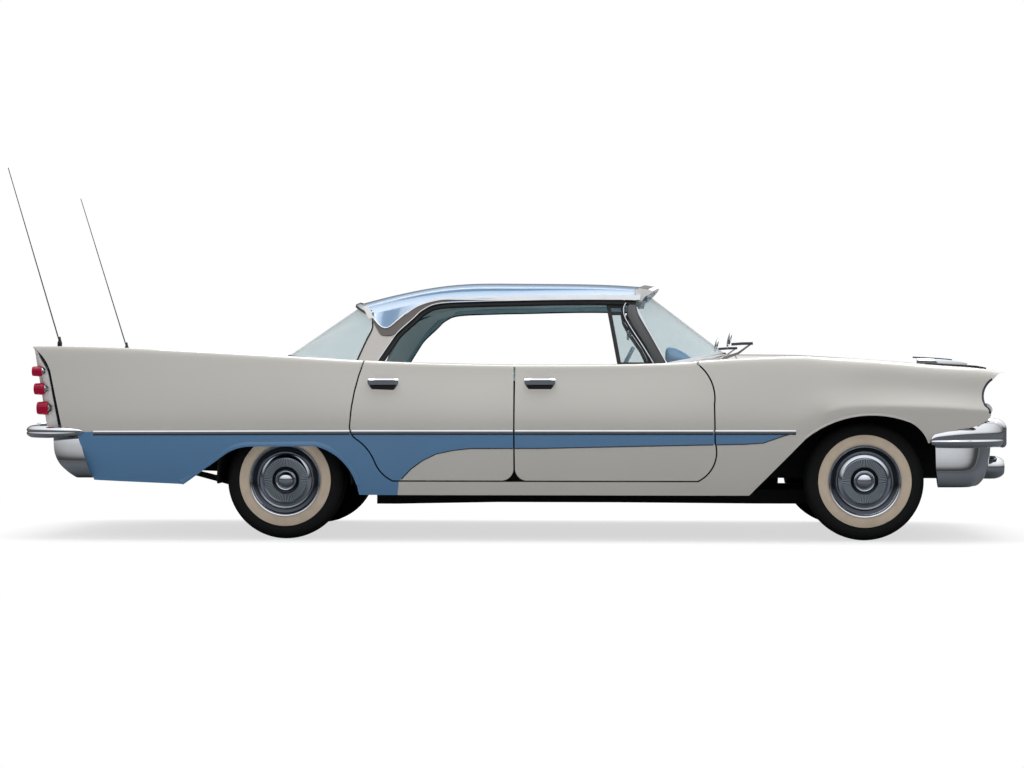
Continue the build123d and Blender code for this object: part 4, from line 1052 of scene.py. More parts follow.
rail, blue_edge = smooth_line(RAIL_LINE), smooth_line(BLUE_EDGE)
BRIGHT_LOW = smooth_line([(372, 1331), (95, 1333), (-76, 1332), (-300, 1331), (-511, 1332), (-640, 1333),
                          (-748, 1332), (-865, 1299), (-942, 1248)])
VALLEY = smooth_line([(-925, 1268), (-942, 1255), (-989, 1215), (-1027, 1182), (-1058, 1176), (-1090, 1195),
                      (-1115, 1227), (-1140, 1263), (-1157, 1295)])
UNDER_VALLEY = smooth_line([(-962, 1176), (-979, 1158), (-1018, 1134), (-1073, 1137), (-1098, 1170),
                            (-1120, 1208), (-1134, 1240), (-1150, 1285)])
ROUND_BEAD = [(-4, -4), (-4, 2), (-2, 5), (2, 5), (4, 2), (4, -4)]
upper = [p for p in blue_edge if p[0] > -942]
add_pair("bright_band", between(upper, BRIGHT_LOW, 12, out=13))
add_pair("brushed_band", between(BRIGHT_LOW, [p for p in rail if p[0] > -979], 9, out=8), BRUSHED)
add_pair("valley_band", between(VALLEY, UNDER_VALLEY, 9, out=7), BRUSHED)
add_pair("rail_bead", house_strip(rail, ROUND_BEAD, 8))
add_pair("valley_bead", house_strip(VALLEY, ROUND_BEAD, 9))
SEAL_PROFILE = [(-14, -16), (-14, 2), (-6, 6), (8, 6), (12, 2), (12, -16)]
add_pair("window_reveal", between(beside(rail, -1), beside(rail, -24), 4, out=-26), BLUE_TRIM, "blue_trim")
add_pair("window_seal", house_strip(beside(rail, -17), SEAL_PROFILE, -4), SEAL, "underbody_black")


# %% Roof sides over the rear pillars
def rail_point(x):
    """The roof's own rail at a station, a little inside the skin."""
    z_rail, y_rail = (read_off([(row[0], row[column]) for row in ROOF_ROWS], x) for column in (4, 5))
    return Vector((x, y_rail - 3, z_rail + 14))


ROOF_SIDE_END, ROOF_SIDE_START = -1058, -740
lower = [p for p in blue_edge if ROOF_SIDE_END <= p[0] < ROOF_SIDE_START]
lower += [p for p in VALLEY if p[0] < ROOF_SIDE_END]
roof_side = bridged([rail_point(x) for x, z in lower], [house(x, z, 5) for x, z in lower])
rungs = [e for e in roof_side.edges if abs(e.verts[0].co.x - e.verts[1].co.x) < 1e-5]
bmesh.ops.subdivide_edges(roof_side, edges=rungs, cuts=3)
add_pair("roof_side", thickened(roof_side, 12), ROOF_PAINT, "blue_paint", crease=50)
lining = between([(-745, 1330), (-860, 1304), (-960, 1266), (-1030, 1234), (-1090, 1190), (-1200, 985)],
                 [(-770, 1296), (-865, 1262), (-950, 1180), (-1020, 1080), (-1090, 985)], 8, out=-32)
add_pair("pillar_lining", lining, HEADLINING, "blue_trim")

# %% Rear pillars in stainless sheet
C_PILLAR = outline((-1106, 960), (-1024, 1089), (-979, 1152), (-985, 1160), (-1018, 1142), (-1073, 1145),
                   (-1098, 1178), (-1118, 1206), (-1126, 1207), (-1127, 1168), (-1160, 1097), (-1222, 960))
pillar = add_object("tool", prism([house(x, z) for x, z in C_PILLAR], -HOUSE_OUT * 26))
settle_pair(carve(pillar, None, [body_hull], "rear_pillar_left"), "body", "chrome", STAINLESS)
drop(pillar)

# %% Windshield pillars
A_PILLAR = outline((456, 960), (401, 1076), (333, 1179), (300, 1239), (295, 1291), (321, 1325), (360, 1325),
                   (353, 1286), (372, 1239), (431, 1136), (524, 960))
post = prism([house(x, z) for x, z in A_PILLAR], -HOUSE_OUT * 34)
add_pair("front_pillar", bevelled(post, 6, 3), PILLAR_GREY)
PILLAR_LINE = smooth_line([(443, 978), (388, 1068), (333, 1153), (287, 1231), (278, 1282), (291, 1314)])
add_pair("front_pillar_bead", house_strip(PILLAR_LINE, ROUND_BEAD, 3))
print("greenhouse mouldings done")


# %% [markdown]
# ## Wrap-around glass
# Both panes bend across the car along an arc at the foot and another at the head, joined by
# straight lines, which is how such panes were sagged over a mould. Two loops are bridged and
# given a wall. A bright reveal moulding follows the edge of each.

# %% Panes and their mouldings
def bow(side_x, side_y, side_z, mid_x, mid_z, steps=40, power=2.3):
    """Points of a bent pane's edge from side to side."""
    points = []
    for i in range(steps + 1):
        turn = math.pi * (i / steps - 0.5)
        share = abs(math.sin(turn))
        t, y = share ** power, side_y * math.copysign(share, turn)
        points.append((mid_x + (side_x - mid_x) * t, y, mid_z + (side_z - mid_z) * t))
    return points


GLASS_WALL = 6


def pane(name, foot, head, node):
    """A glass sheet between two bows. It gives back the points of its foot."""
    loops = [bow(*foot), bow(*head)]
    bm = skinned(loops, closed=False)
    bmesh.ops.subdivide_edges(bm, edges=[e for e in bm.edges if abs(e.verts[0].co.z - e.verts[1].co.z) > 0.2],
                              cuts=5, use_grid_fill=True)
    sheet = modify(add_object(name, bm), "SOLIDIFY", thickness=GLASS_WALL / 1000, offset=0)
    settle(sheet, "body", "clear_glass", CLEAR_GLASS, 40, [node])
    return loops[0]


# x, y, z at the side | x, z at the centre line
PANES = {"windshield": ((508, 808, 968, 872, 1036), (346, 700, 1326, 416, 1384), 9),
         "backlight": ((-1198, 806, 985, -1690, 1024), (-1124, 722, 1225, -1262, 1312), 8)}
for name, (foot, head, trim_radius) in PANES.items():
    spine = [(x, y, z + 2) for x, y, z in pane(name + "_glass", foot, head, name)]
    add(name + "_foot_trim", swept(spine, circle(trim_radius), (0, 0, 1)))
W_SIDE = smooth_line([(352, 1290), (369, 1239), (428, 1136), (514, 980)])
B_SIDE = smooth_line([(-1124, 1262), (-1124, 1207), (-1127, 1168), (-1160, 1097), (-1208, 985)])
add_pair("windshield_side_trim", house_strip(W_SIDE, ROUND_BEAD, 3))
add_pair("backlight_side_trim", house_strip(B_SIDE, ROUND_BEAD, 2), SEAL)


# %% Header mouldings over both panes
def header(name, line, profile, material=CHROME):
    """A moulding along a pane's head: a profile of (forward, up) set at each point of a line."""
    add(name, skinned([[(x + f, y, z + u) for f, u in profile] for x, y, z in line]), material)


VISOR = [(-58, 14), (-30, 26), (30, 16), (46, 8), (42, 0), (4, -22), (-14, -46), (-30, -50), (-40, -24)]
# The visor's near-white finish is a painted reflection.
header("windshield_header", bow(394, 702, 1372, 440, 1408), VISOR, REFLECTION_WHITE)
INSERT = [(-50, 19), (-30, 28), (22, 19.5), (22, 16), (-30, 24), (-50, 15)]
header("header_insert", bow(394, 700, 1372, 440, 1408), INSERT, PILLAR_GREY)
REAR_TRIM = [(26, 6), (8, 14), (-16, 4), (-18, -10), (-4, -18), (20, -16)]
header("backlight_header", bow(-1156, 722, 1268, -1268, 1326), REAR_TRIM)
corner = between([(-1155, 1306), (-1119, 1234)], [(-1180, 1292), (-1145, 1226)], 24, steps=8, out=16)
# The corner piece's near-white finish is a painted reflection.
add_pair("backlight_corner", corner, REFLECTION_WHITE)
print("glass done")

# %% [markdown]
# ## Vent windows
# Each front door carries a fixed vent pane in a dark frame, on the lean of the side glass.
# The frame is an outline with its middle taken out, and the pane is a thin slip inside it.

# %% Vents
VENT_OUT = [(247, 960), (182, 1306), (274, 1308), (290, 1240), (330, 1170), (398, 1072), (452, 960)]
VENT_IN = [(264, 982), (206, 1292), (262, 1292), (272, 1236), (312, 1160), (380, 1062), (418, 982)]


vent_frame = bridged(*([house(x, z, -10) for x, z in edge] for edge in (VENT_OUT, VENT_IN)), closed=True)
add_pair("vent_frame", thickened(vent_frame, 16), SEAL, body="front_door_{}", replaces=["vent_window_{}"])
vent_pane = prism([house(x, z, -17) for x, z in VENT_IN], -HOUSE_OUT * 4)
add_pair("vent_glass", vent_pane, CLEAR_GLASS, "clear_glass", "front_door_{}")

# %% [markdown]
# ## Wheels
# A tyre is one profile spun about the axle: tread ribs, rounded shoulder, a raised pale band
# on the outer wall and the bead. The band's faces take the whitewall finish by their radius.
# The cover is a second spin: a rolled rim, stepped rings, a fluted ring whose every second row of points is
# pushed in, and a domed centre. Its flutes are painted alternately dark and light, a painted shade and
# highlight, and three rings are painted dark, a painted reflection.

# %% Tyres and covers
AXLE_Z = 328
OUTER_HALF = [(98.5, 255), (98, 275), (95, 292), (89, 306), (80, 317), (70, 322), (60, 325.4), (52, 326.6),
              (51, 321), (46, 321), (45, 327.2), (22, 328), (21, 322), (15, 322), (14, 328)]
TYRE = [(75, 180), (88, 186), (98, 200), (102, 222), (102.4, 240), (101, 254), *OUTER_HALF,
        *((-across, radius) for across, radius in OUTER_HALF[:2:-1]), (-95, 292), (-99, 270), (-102, 235),
        (-98, 200), (-88, 186), (-75, 180), (75, 180)]
COVER = [(72, 178), (96, 188), (103, 195), (104, 198), (102, 199), (99, 196), (94, 189), (88, 184), (80, 170),
         (78, 164), (81, 160), (84, 157), (81, 154), (73, 149), (70, 144), (72, 134), (77, 127), (80, 123),
         (77, 120), (75, 118), (72, 117), (74, 78), (77, 75), (75, 72), (64, 69), (63, 65), (70, 62),
         (78, 58), (80, 54), (78, 50), (80, 48), (88, 42), (97, 30), (103, 16), (105, 0)]
RIM = [(70, 181), (74, 184), (60, 178), (30, 172), (0, 160), (-30, 168), (-70, 176), (-76, 182), (-92, 160),
       (-92, 40), (-60, 21)]
WHEELS = [("front", XF, 777), ("rear", XR, 762)]   # end, axle, half of the track
FLUTES, FLUTE_DEPTH = 144, 5
WHITE_BAND, WHITE_WALL_START = (186, 254.5), 80    # radii, and how far outside the wheel's middle
FLUTED = (77, 117.5)
# Rings of the cover painted in dark metal: a painted dark reflection.
DARK_REFLECTION_RINGS = [(63, 73.5), (140, 150), (162, 184)]


def polar(place, centre):
    """The radius in millimetres and the turn in flutes of a place on a wheel."""
    dx, dz = place.x - centre.x, place.z - centre.z
    return 1000 * math.hypot(dx, dz), math.atan2(dz, dx) / (2 * math.pi) * FLUTES


def wheel_cover(centre):
    """A spun cover whose flat ring is fluted: every second row of its points is pushed in."""
    bm = turned(COVER, centre, steps=FLUTES)
    for v in bm.verts:
        radius, turn = polar(v.co, mm(*centre))
        if FLUTED[0] < radius < FLUTED[1]:
            v.co.y -= FLUTE_DEPTH / 1000 * (round(turn) % 2)
    return bm


def paint_faces(obj, finishes, pick):
    """Adds finishes to a piece. pick gives the number of a face's finish, or 0 to leave it."""
    for finish in finishes:
        obj.data.materials.append(finish)
    for face in obj.data.polygons:
        face.material_index = pick(face.center)


for end, x, half_track in WHEELS:
    centre, body = (x, half_track, AXLE_Z), end + "_wheel_{}"
    hub = mm(x, 0, AXLE_Z)

    def band(place):
        outside = abs(place.y) > (half_track + WHITE_WALL_START) / 1000
        return int(outside and WHITE_BAND[0] < polar(place, hub)[0] < WHITE_BAND[1])

    # Paints the fluted faces alternately dark and light, a painted shade and highlight on each flute, and the
    # dark rings dark, a painted reflection.
    def rings(place):
        radius, turn = polar(place, hub)
        if FLUTED[0] < radius < FLUTED[1]:
            return 1 + math.floor(turn) % 2
        return int(any(low < radius < high for low, high in DARK_REFLECTION_RINGS))

    for tyre in add_pair(end + "_tyre", turned(TYRE, centre, steps=120), RUBBER, "tyre_rubber", body,
                         replaces=["tyre_" + end + "_{}"]):
        paint_faces(tyre, [WHITEWALL], band)
    for cover in add_pair(end + "_wheel_cover", wheel_cover(centre), ALUMINIUM, body=body, crease=40):
        paint_faces(cover, [DARK_METAL_AND_SHADE, FLUTE_HIGHLIGHT], rings)
    add_pair(end + "_rim", turned(RIM, centre, steps=64), STEEL_PAINT, "wheel_steel", body,
             replaces=["wheel_" + end + "_{}"])
print("wheels done")

# %% [markdown]
# ## Bumpers
# The front bumper is a heavy bar that wraps back to the wheel openings, with a deeper apron
# below, tall guards, and two round pods. Each bar is a rounded section carried along a curve
# in plan, so the ends can taper.


# %% Bars in plan
def plan_line(tip_x, bow_depth, corner_y, end_x, end_y, forward, steps=10):
    """Half of a bar's plan line: bowed across, rounded at the corner and straight along the side."""
    corner_x = tip_x - forward * bow_depth
    round_off = end_y - corner_y
    side_x = corner_x - forward * 1.25 * round_off
    half = [(tip_x - forward * bow_depth * (i / steps) ** 2, corner_y * i / steps) for i in range(steps + 1)]
    mid_corner = (corner_x - forward * 0.32 * round_off, corner_y + 0.68 * round_off)
    half += arc(half[-1], mid_corner, (side_x, end_y), 10)
    return half + [(side_x - forward * abs(end_x - side_x) * i / 8, end_y) for i in range(1, 9)]


def bumper_bar(half, profile_at, outward):
    """A closed bar along a plan line and its mirror image. profile_at gives points of (out, z) for an x."""
    full = [(x, -y) for x, y in reversed(half[1:])] + half
    sections = []
    for (ax, ay), (x, y), (bx, by) in zip(full[:1] + full, full, full[1:] + full[-1:]):
        along = Vector((bx - ax, by - ay, 0)).normalized()
        out = Vector((along.y, -along.x, 0)) * outward
        sections.append([Vector((x, y, 0)) + out * o + Vector((0, 0, z)) for o, z in profile_at(x)])
    return skinned(sections)


def trimmed_bar(name, half, profile_at, outward, tool, keep):
    """A bar cut to the side view of tool, inside it or outside it."""
    bar = subdivided(add_object("tool", bumper_bar(half, profile_at, outward)), 1)
    cutter = add_object("cutter", side_prism(tool, -WIDE, WIDE))
    settle(carve(bar, cutter if keep else None, [] if keep else [cutter], name), "body", "chrome", CHROME, 50)
    drop(bar, cutter)


BAR_FOOT, BAR_RISE = 552, 82


def front_rail_profile(x):
    """A lit top, a hollow face, a ridge and an undercut, all thinner towards the wheel openings."""
    top = read_off(BAR_TOP, x)
    rise = top - BAR_FOOT
    k = max(0.06, min(1.0, rise / BAR_RISE))
    thick = 24 + 60 * k
    face = [(-14, 0.73), (-4, 0.49), (0, 0.39), (-6, 0.17), (-10, 0.04)]
    return [(-thick, top - 12 * k), (-thick * 0.55, top), (-30 * k, top - 4 * k),
            *((out * k, BAR_FOOT + share * rise) for out, share in face),
            (-2 * k, 550), (0, 546), (-3 * k, 541), (-10 * k, 538 - 12 * k), (-18 * k - 4, 534 - 24 * k),
            (-thick, 534 - 20 * k)]


BAR_TOP = [(1940, 558), (1968, 596), (2000, 615), (2075, 633), (2154, 645), (2222, 649), (2330, 650)]
add("front_bumper_bar", bumper_bar(plan_line(2418, 18, 640, 1950, 968, 1), front_rail_profile, 1), smooth=1,
    crease=50, replaces=["front_bumper"])


def apron_profile(x):
    """The apron under the bar leans back at the front and turns under at its lower edge."""
    lean = 68 * max(0.0, min(1.0, (x - 2170) / 110))
    face = [(-30, 530), (-22, 530), (-20, 518), (-8, 460), (0, 410), (2, 380), (0, 356), (-8, 330),
            (-20, 308), (-34, 297), (-46, 296), (-56, 314), (-44, 400)]
    return [(out - lean * (530 - z) / 235, z) for out, z in face]


trimmed_bar("front_bumper_apron", plan_line(2352, 15, 690, 1975, 950, 1), apron_profile, 1,
            [(1900, 600), (1957, 540), (1993, 290), (1900, 250)], keep=False)
POD = [(0, 0), (0, 58), (60, 63), (130, 65), (162, 64), (186, 58), (203, 48), (212, 38), (213, 32), (206, 29),
       (196, 28), (190, 0)]
LENS = [(188, 0), (199, 0), (198, 14), (194, 25), (188, 28), (188, 0)]
POD_PLACE = (XF + 600, 520, 394)
add_pair("bumper_pod", turned(POD, POD_PLACE, (1, 0, 0), 64))
add_pair("pod_lens", turned(LENS, POD_PLACE, (1, 0, 0), 48), LAMP_GLASS, "lamp_glass")
GUARD_SIDE = outline((2262, 520), (2262, 640), ((2300, 668), (2345, 668)), ((2396, 650), (2412, 600)),
                     (2412, 530), ((2400, 510), (2380, 508)))
guard = side_prism(GUARD_SIDE, 505, 655)
guard_rims = [e for e in guard.edges if abs(e.verts[0].co.y - e.verts[1].co.y) < 1e-5]
add_pair("bumper_guard", bevelled(guard, 30, 5, guard_rims), crease=50)


# %% Rear bumper
def rear_rail_profile(x):
    """A rounded bar with a groove along its middle."""
    t = max(0.0, min(1.0, (-2706 - x) / 200))
    low, high = 592 - 33 * t ** 0.5, 600 + 32 * t ** 0.5
    mid, h, thick = (low + high) / 2, (high - low) / 2, 16 + 60 * t
    face = [(-22, 0.86), (-7, 0.55), (None, 0.2), (-7, 0.08), (-7, -0.12), (None, -0.24), (-7, -0.58),
            (-22, -0.88)]
    return [(-thick, mid + 0.6 * h), (-thick * 0.55, mid + h),
            *((-1 if out is None else out * t, mid + share * h) for out, share in face),
            (-thick * 0.55, mid - h), (-thick, mid - 0.6 * h)]


add("rear_bumper_bar", bumper_bar(plan_line(-3135, 40, 700, -2712, 975, -1), rear_rail_profile, -1), smooth=1,
    crease=50, replaces=["rear_bumper"])
WRAP = [(-44, 575), (-22, 575), (-18, 560), (-6, 495), (0, 440), (0, 416), (-9, 384), (-23, 360), (-40, 346),
        (-58, 338), (-74, 350), (-58, 400)]
WRAP_FRONT = smooth_line([(-2896, 600), (-2894, 545), (-2882, 480), (-2852, 425), (-2812, 385), (-2776, 356),
                          (-2749, 336)])
trimmed_bar("rear_bumper_wrap", plan_line(-3040, 40, 720, -2612, 955, -1), lambda x: WRAP, -1,
            WRAP_FRONT + [(-2720, 330), (-2664, 330), (-2747, 600)], keep=True)
add_pair("bumper_step", block(-3010, -2930, 640, 800, 628, 646, 8))
print("bumpers done")

# %% [markdown]
# ## Grille and headlamps
# Between the lamps lies a fine mesh of bars. Rows of thin strips are cheap: one strip is
# made and copied by the duplicate operator.


# %% Grille
def row_of(bm, count, step):
    """Copies a mesh count times, each moved by step."""
    geom = bm.verts[:] + bm.edges[:] + bm.faces[:]
    for i in range(1, count):
        copy = bmesh.ops.duplicate(bm, geom=geom)["geom"]
        bmesh.ops.translate(bm, vec=Vector(step) * i / 1000, verts=corners(copy))
    return bm


bars = joined(row_of(block(2182, 2232, -590, -586, 640, 842, 1, 1), 40, (0, 30.15, 0)),
              row_of(block(2190, 2238, -592, 592, 664, 670, 1.5, 1), 6, (0, 0, 30)))
add("grille_mesh", bars, replaces=["grille"])
SURROUND = [(-602, 602, 628, 648), (-602, 602, 832, 852), (-602, -582, 628, 852), (582, 602, 628, 852)]
add("grille_surround", joined(*(block(2180, 2240, *sides, 4) for sides in SURROUND)))

# %% Headlamps
BEZEL = [(0, 62), (40, 62), (52, 61), (58, 64), (56, 69), (44, 72), (10, 73), (0, 73), (0, 62)]
BOWL = [(2, 0), (6, 28), (22, 49), (46, 60), (44, 63), (4, 63), (0, 0)]
LAMP = [(40, 61), (50, 59), (58, 48), (64, 28), (66, 0), (60, 0), (58, 27), (52, 46), (42, 55), (40, 61)]
for name, y, stands_for in (("headlamp_1", 676, ["headlamps"]), ("headlamp_2", 820, [])):
    centre = (XF + 580, y, 788)
    add_pair(name + "_bezel", turned(BEZEL, centre, (1, 0, 0), 64), replaces=stands_for)
    add_pair(name + "_bowl", turned(BOWL, centre, (1, 0, 0), 48))
    add_pair(name + "_lens", turned(LAMP, centre, (1, 0, 0), 48), LAMP_GLASS, "lamp_glass")
NOSE_LINE = [(x, z) for x, z in NOSE if 700 < z < 890 and x < XF + 700]
EDGE_PROFILE = [(-6, -8), (-6, 3), (6, 3), (6, -8)]
# The chrome edge along the nose is given the dark metal: a painted shade.
add_pair("nose_edge", swept([skin(x - 6, z, -2) for x, z in NOSE_LINE], EDGE_PROFILE, (0, 1, 0)), DARK_METAL_AND_SHADE)
LIP_SIDE = outline((XF + 660, 756), ((XF + 684, 740), (XF + 691, 718)), (XF + 682, 702), (XF + 660, 708))
# The lamp lip's near-white finish is a painted reflection.
add_pair("lamp_lip", side_prism(LIP_SIDE, 640, 896), REFLECTION_WHITE)
PANEL_FRONT = [(0, 606), (925, 606), (925, 700), (905, 870), (640, 900), (0, 915)]
lamp_panel = add_object("tool", prism([(XF + 568, y, z) for y, z in PANEL_FRONT], (-8, 0, 0)))
lamp_limit = body_volume("lamp_limit", INNER_ROWS, LAMP_PANEL_INSET, BELOW_SILL, 1)
settle_pair(carve(lamp_panel, lamp_limit, [], "lamp_panel_left"), "body", "cream_paint", PAINT)
drop(lamp_panel, lamp_limit)
print("front end done")

# %% [markdown]
# ## Tail lamps
# Three tapered lenses stand one above another in a housing at the end of each fin, its near-white a painted
# reflection on bright metal. The housing follows the fin's rear edge, and a bevel in dark metal, a painted
# shade on its chrome, separates it from the paint.

# %% Housings and lenses
EDGE_LINE = [(x, z) for x, z in TAIL_EDGE if 600 < z < 1070]
TAIL_OUTSIDE, TAIL_INSIDE = 915, 806
# height | share of a ring's move that reaches it
TAIL_WIDTH = [(600, 1.0), (649, 1.0), (776, 0.73), (897, 0.58), (977, 0.57), (1040, 0.25), (1080, 0.03)]


def tail_ring(back, narrow):
    """A loop that follows the tail's edge, moved back by less at the tip, and drawn in."""
    outer = []
    for x, z in EDGE_LINE:
        wide = read_off(TAIL_WIDTH, z) if back > 0 else 1
        outer.append((x - back * wide, min(skin(x, z).y, TAIL_OUTSIDE) - narrow, z))
    return outer + [(x, TAIL_INSIDE + narrow * 0.4, z) for x, y, z in reversed(outer)]


# The bevel's dark metal is a painted shade on chrome.
add_pair("tail_bevel", skinned([tail_ring(-14, 6), tail_ring(4, 6), tail_ring(30, 16)]), DARK_METAL_AND_SHADE)
# The housing's near-white finish is a painted reflection.
add_pair("tail_housing", skinned([tail_ring(24, 24), tail_ring(76, 28), tail_ring(100, 40)]), REFLECTION_WHITE)
# rear end x | front x | z | y | radius
LENSES = [(-3012, -2943, 933, 884, 29), (-3000, -2927, 835, 886, 34), (-2983, -2905, 728, 888, 38)]
for number, (rear, front, z, y, r) in enumerate(LENSES, 1):
    deep, place = front - rear, (front, y, z)
    cone = [(0, 0), (5, 0.6 * r), (16, 0.9 * r), (28, r), (deep - 8, 0.93 * r), (deep - 1, 0.88 * r),
            (deep, 0.78 * r), (deep, 0)]
    add_pair(f"tail_lens_{number}", turned(cone, place, (-1, 0, 0), 48), RED_LENS, "red_lens",
             replaces=["tail_lamps"] if number == 1 else [])
    ring = [(-4, 0.5 * r), (1, 0.6 * r + 2), (8, 0.78 * r + 3), (11, 0.84 * r + 3), (12, 0.8 * r),
            (-4, 0.45 * r), (-4, 0.5 * r)]
    add_pair(f"tail_lens_ring_{number}", turned(ring, place, (-1, 0, 0), 48))
print("tail lamps done")

# %% [markdown]
# ## Handles, mirrors, ornament, spears and antennas
# The small bright parts give such a car its sparkle. Each is a short sweep or spin that sits
# on the skin where it is bolted.

# %% Door handles
HANDLE_Z = 858
PLATE = [(-86, 14), (-80, 27), (-70, 32), (70, 32), (80, 27), (86, 14), (66, -30), (56, -36), (-56, -36),
         (-66, -30)]
PULL = [(-80, 2), (-64, 12), (0, 16), (64, 12), (80, 2)]
GRIP = [(-21, -4), (-18, 4), (-6, 9), (8, 9), (16, 3), (17, -4)]


def handle_plate(x, y, shrink, deep):
    side = [(x + dx * (1 - shrink), HANDLE_Z + dz * (1 - 2.4 * shrink)) for dx, dz in PLATE]
    return side_prism(side, y, y + deep)


for end, x in (("rear", -1045), ("front", -181)):
    y = skin(x, HANDLE_Z).y
    plate = bevelled(handle_plate(x, y - 8, 0, 13), 3, 2)
    pull = swept([(x + dx, y + out, HANDLE_Z + 18) for dx, out in PULL], GRIP, (0, 1, 0))
    button = turned([(0, 0), (0, 9), (10, 9), (12, 6), (12, 0)], (x - 56, y + 2, HANDLE_Z), (0, 1, 0), 24)
    add_pair(end + "_door_handle", joined(plate, pull), body=end + "_door_{}")
    # A dark plate in the handle's lower half, a painted dark reflection, joined with the dark push button.
    add_pair(end + "_handle_shade_and_button", joined(handle_plate(x, y, 0.06, 7), button), SEAL, body=end + "_door_{}")

# %% Fender mirrors
MIRROR_Y = 842
UP = (0, 0, 1)
foot, top = deck_point(826, MIRROR_Y), Vector((978, MIRROR_Y, 1082))
spine = [foot + Vector((-10, 0, -8)), foot + Vector((10, 0, 12)), foot.lerp(top, 0.5) + Vector((8, 0, -6)),
         top]
squares = [[(-half, -half), (-half, half), (half, half), (half, -half)] for half in (14.4, 8.8, 6.4, 4.4)]
base = turned([(-10, 0), (-10, 40), (2, 40), (7, 32), (9, 12), (9, 0)], foot, UP, 40, (1, 0, 0))
blade = swept([(872, MIRROR_Y, 1081), (930, MIRROR_Y, 1085), (990, MIRROR_Y, 1086)],
              [[(-17 * s, -8), (-13 * s, 7), (13 * s, 7), (17 * s, -8)] for s in (1.0, 0.8, 0.4)], UP)
MIRROR_HEAD = [(0, 0), (1, 20), (4, 36), (8, 44), (13, 45), (17, 36), (20, 20), (21, 0)]
add_pair("mirror_stand", swept(spine, squares, (1, 0, 0)), STAINLESS, replaces=["mirrors"])
add_pair("mirror_foot", base, DARK_METAL_AND_SHADE)
add_pair("mirror_blade", blade, DARK_METAL_AND_SHADE)
add_pair("mirror_head", turned(MIRROR_HEAD, (850, MIRROR_Y, 1108), (1, 0, -0.25), 48))

# %% Cabin mirror
add("cabin_mirror", joined(block(299, 313, -118, 118, 1122, 1176, 6), block(310, 330, -8, 8, 1140, 1384, 4)))


# %% Ornament and spears
def spear_shape(rear, front, top_rear, top_front, half, height, ends=2.2):
    """A long low blade on the centre line: its top is nearly straight, and it thins towards the front."""
    spine, shapes = [], []
    for i in range(13):
        t = i / 12
        spine.append((rear + (front - rear) * t, 0, top_rear + (top_front - top_rear) * t - height))
        width, tall = half * (1 - t ** ends) + 1.5, height * (1 - 0.8 * t ** (2 * ends))
        low = height * (0.55 + 0.75 * t)
        shapes.append([(-width, -low), (-width, tall * 0.4), (-width * 0.5, tall), (width * 0.5, tall),
                       (width, tall * 0.4), (width, -low)])
    return swept(spine, shapes, UP)


add("hood_ornament_bright", spear_shape(XF + 396, XF + 688, 1014, 1000, 16, 20), body="hood",
    replaces=["hood_ornament"])
add("hood_ornament_blade", spear_shape(XF + 372, XF + 600, 1024, 1012, 9, 6), DARK_METAL_AND_SHADE, body="hood")
spine = [deck_point(x, 855, 4) for x in (1940, 1975, 2030, 2090, 2150, 2210)]
spine = [spine[0] + Vector((-12, 0, -5))] + spine + [deck_point(2262, 852, 1)]
spear = swept(spine, [[(-8 * w, -9), (-8 * w, 4), (-3 * w, 7), (3 * w, 7), (8 * w, 4), (8 * w, -9)]
                      for w in (0.3, 1, 1.1, 1.1, 1.1, 1.1, 1, 0.4)], UP)
add_pair("fender_spear", spear, SEAL, replaces=["fender_spears"])
add_pair("fender_tip", block(2322, 2336, 826, 842, 916, 926, 4), SEAL)

# %% Antennas
ANTENNA_X, ANTENNA_Y, ANTENNA_FOOT = XR - 1262, 872, 1092
ROOT = [(-40, 0), (-40, 15), (-18, 15), (-10, 9), (4, 13), (20, 13), (34, 8), (52, 5), (56, 0)]
for side, sign, tip_x, tip_z in (("right", -1, XR - 1553, 2069), ("left", 1, XR - 1556, 2037)):
    x, y = ANTENNA_X, ANTENNA_Y * sign
    root = turned(ROOT, (x, y, ANTENNA_FOOT - 20), UP, 32, (1, 0, 0))
    middle = (x + (tip_x - x) / 2, y, (ANTENNA_FOOT + tip_z) / 2)
    rod = swept([(x, y, ANTENNA_FOOT), middle, (tip_x, y, tip_z)],
                [circle(radius) for radius in (4, 3.2, 2.4)], (0, 1, 0))
    add(f"antenna_base_{side}", root, SEAL, "underbody_black", replaces=["antennas"])
    add(f"antenna_rod_{side}", rod, ROD)
print("small bright parts done")

# %% [markdown]
# ## Inside
# Two padded benches, a dash with a soft top, a thin-rimmed wheel, trim panels and carpet.
# The benches are crowned forms with sewn channels.


# %% Benches
RIBS, RIB_DEPTH, SIDE_ROUNDING, PADDING = 28, 0.015, 40, 0.7


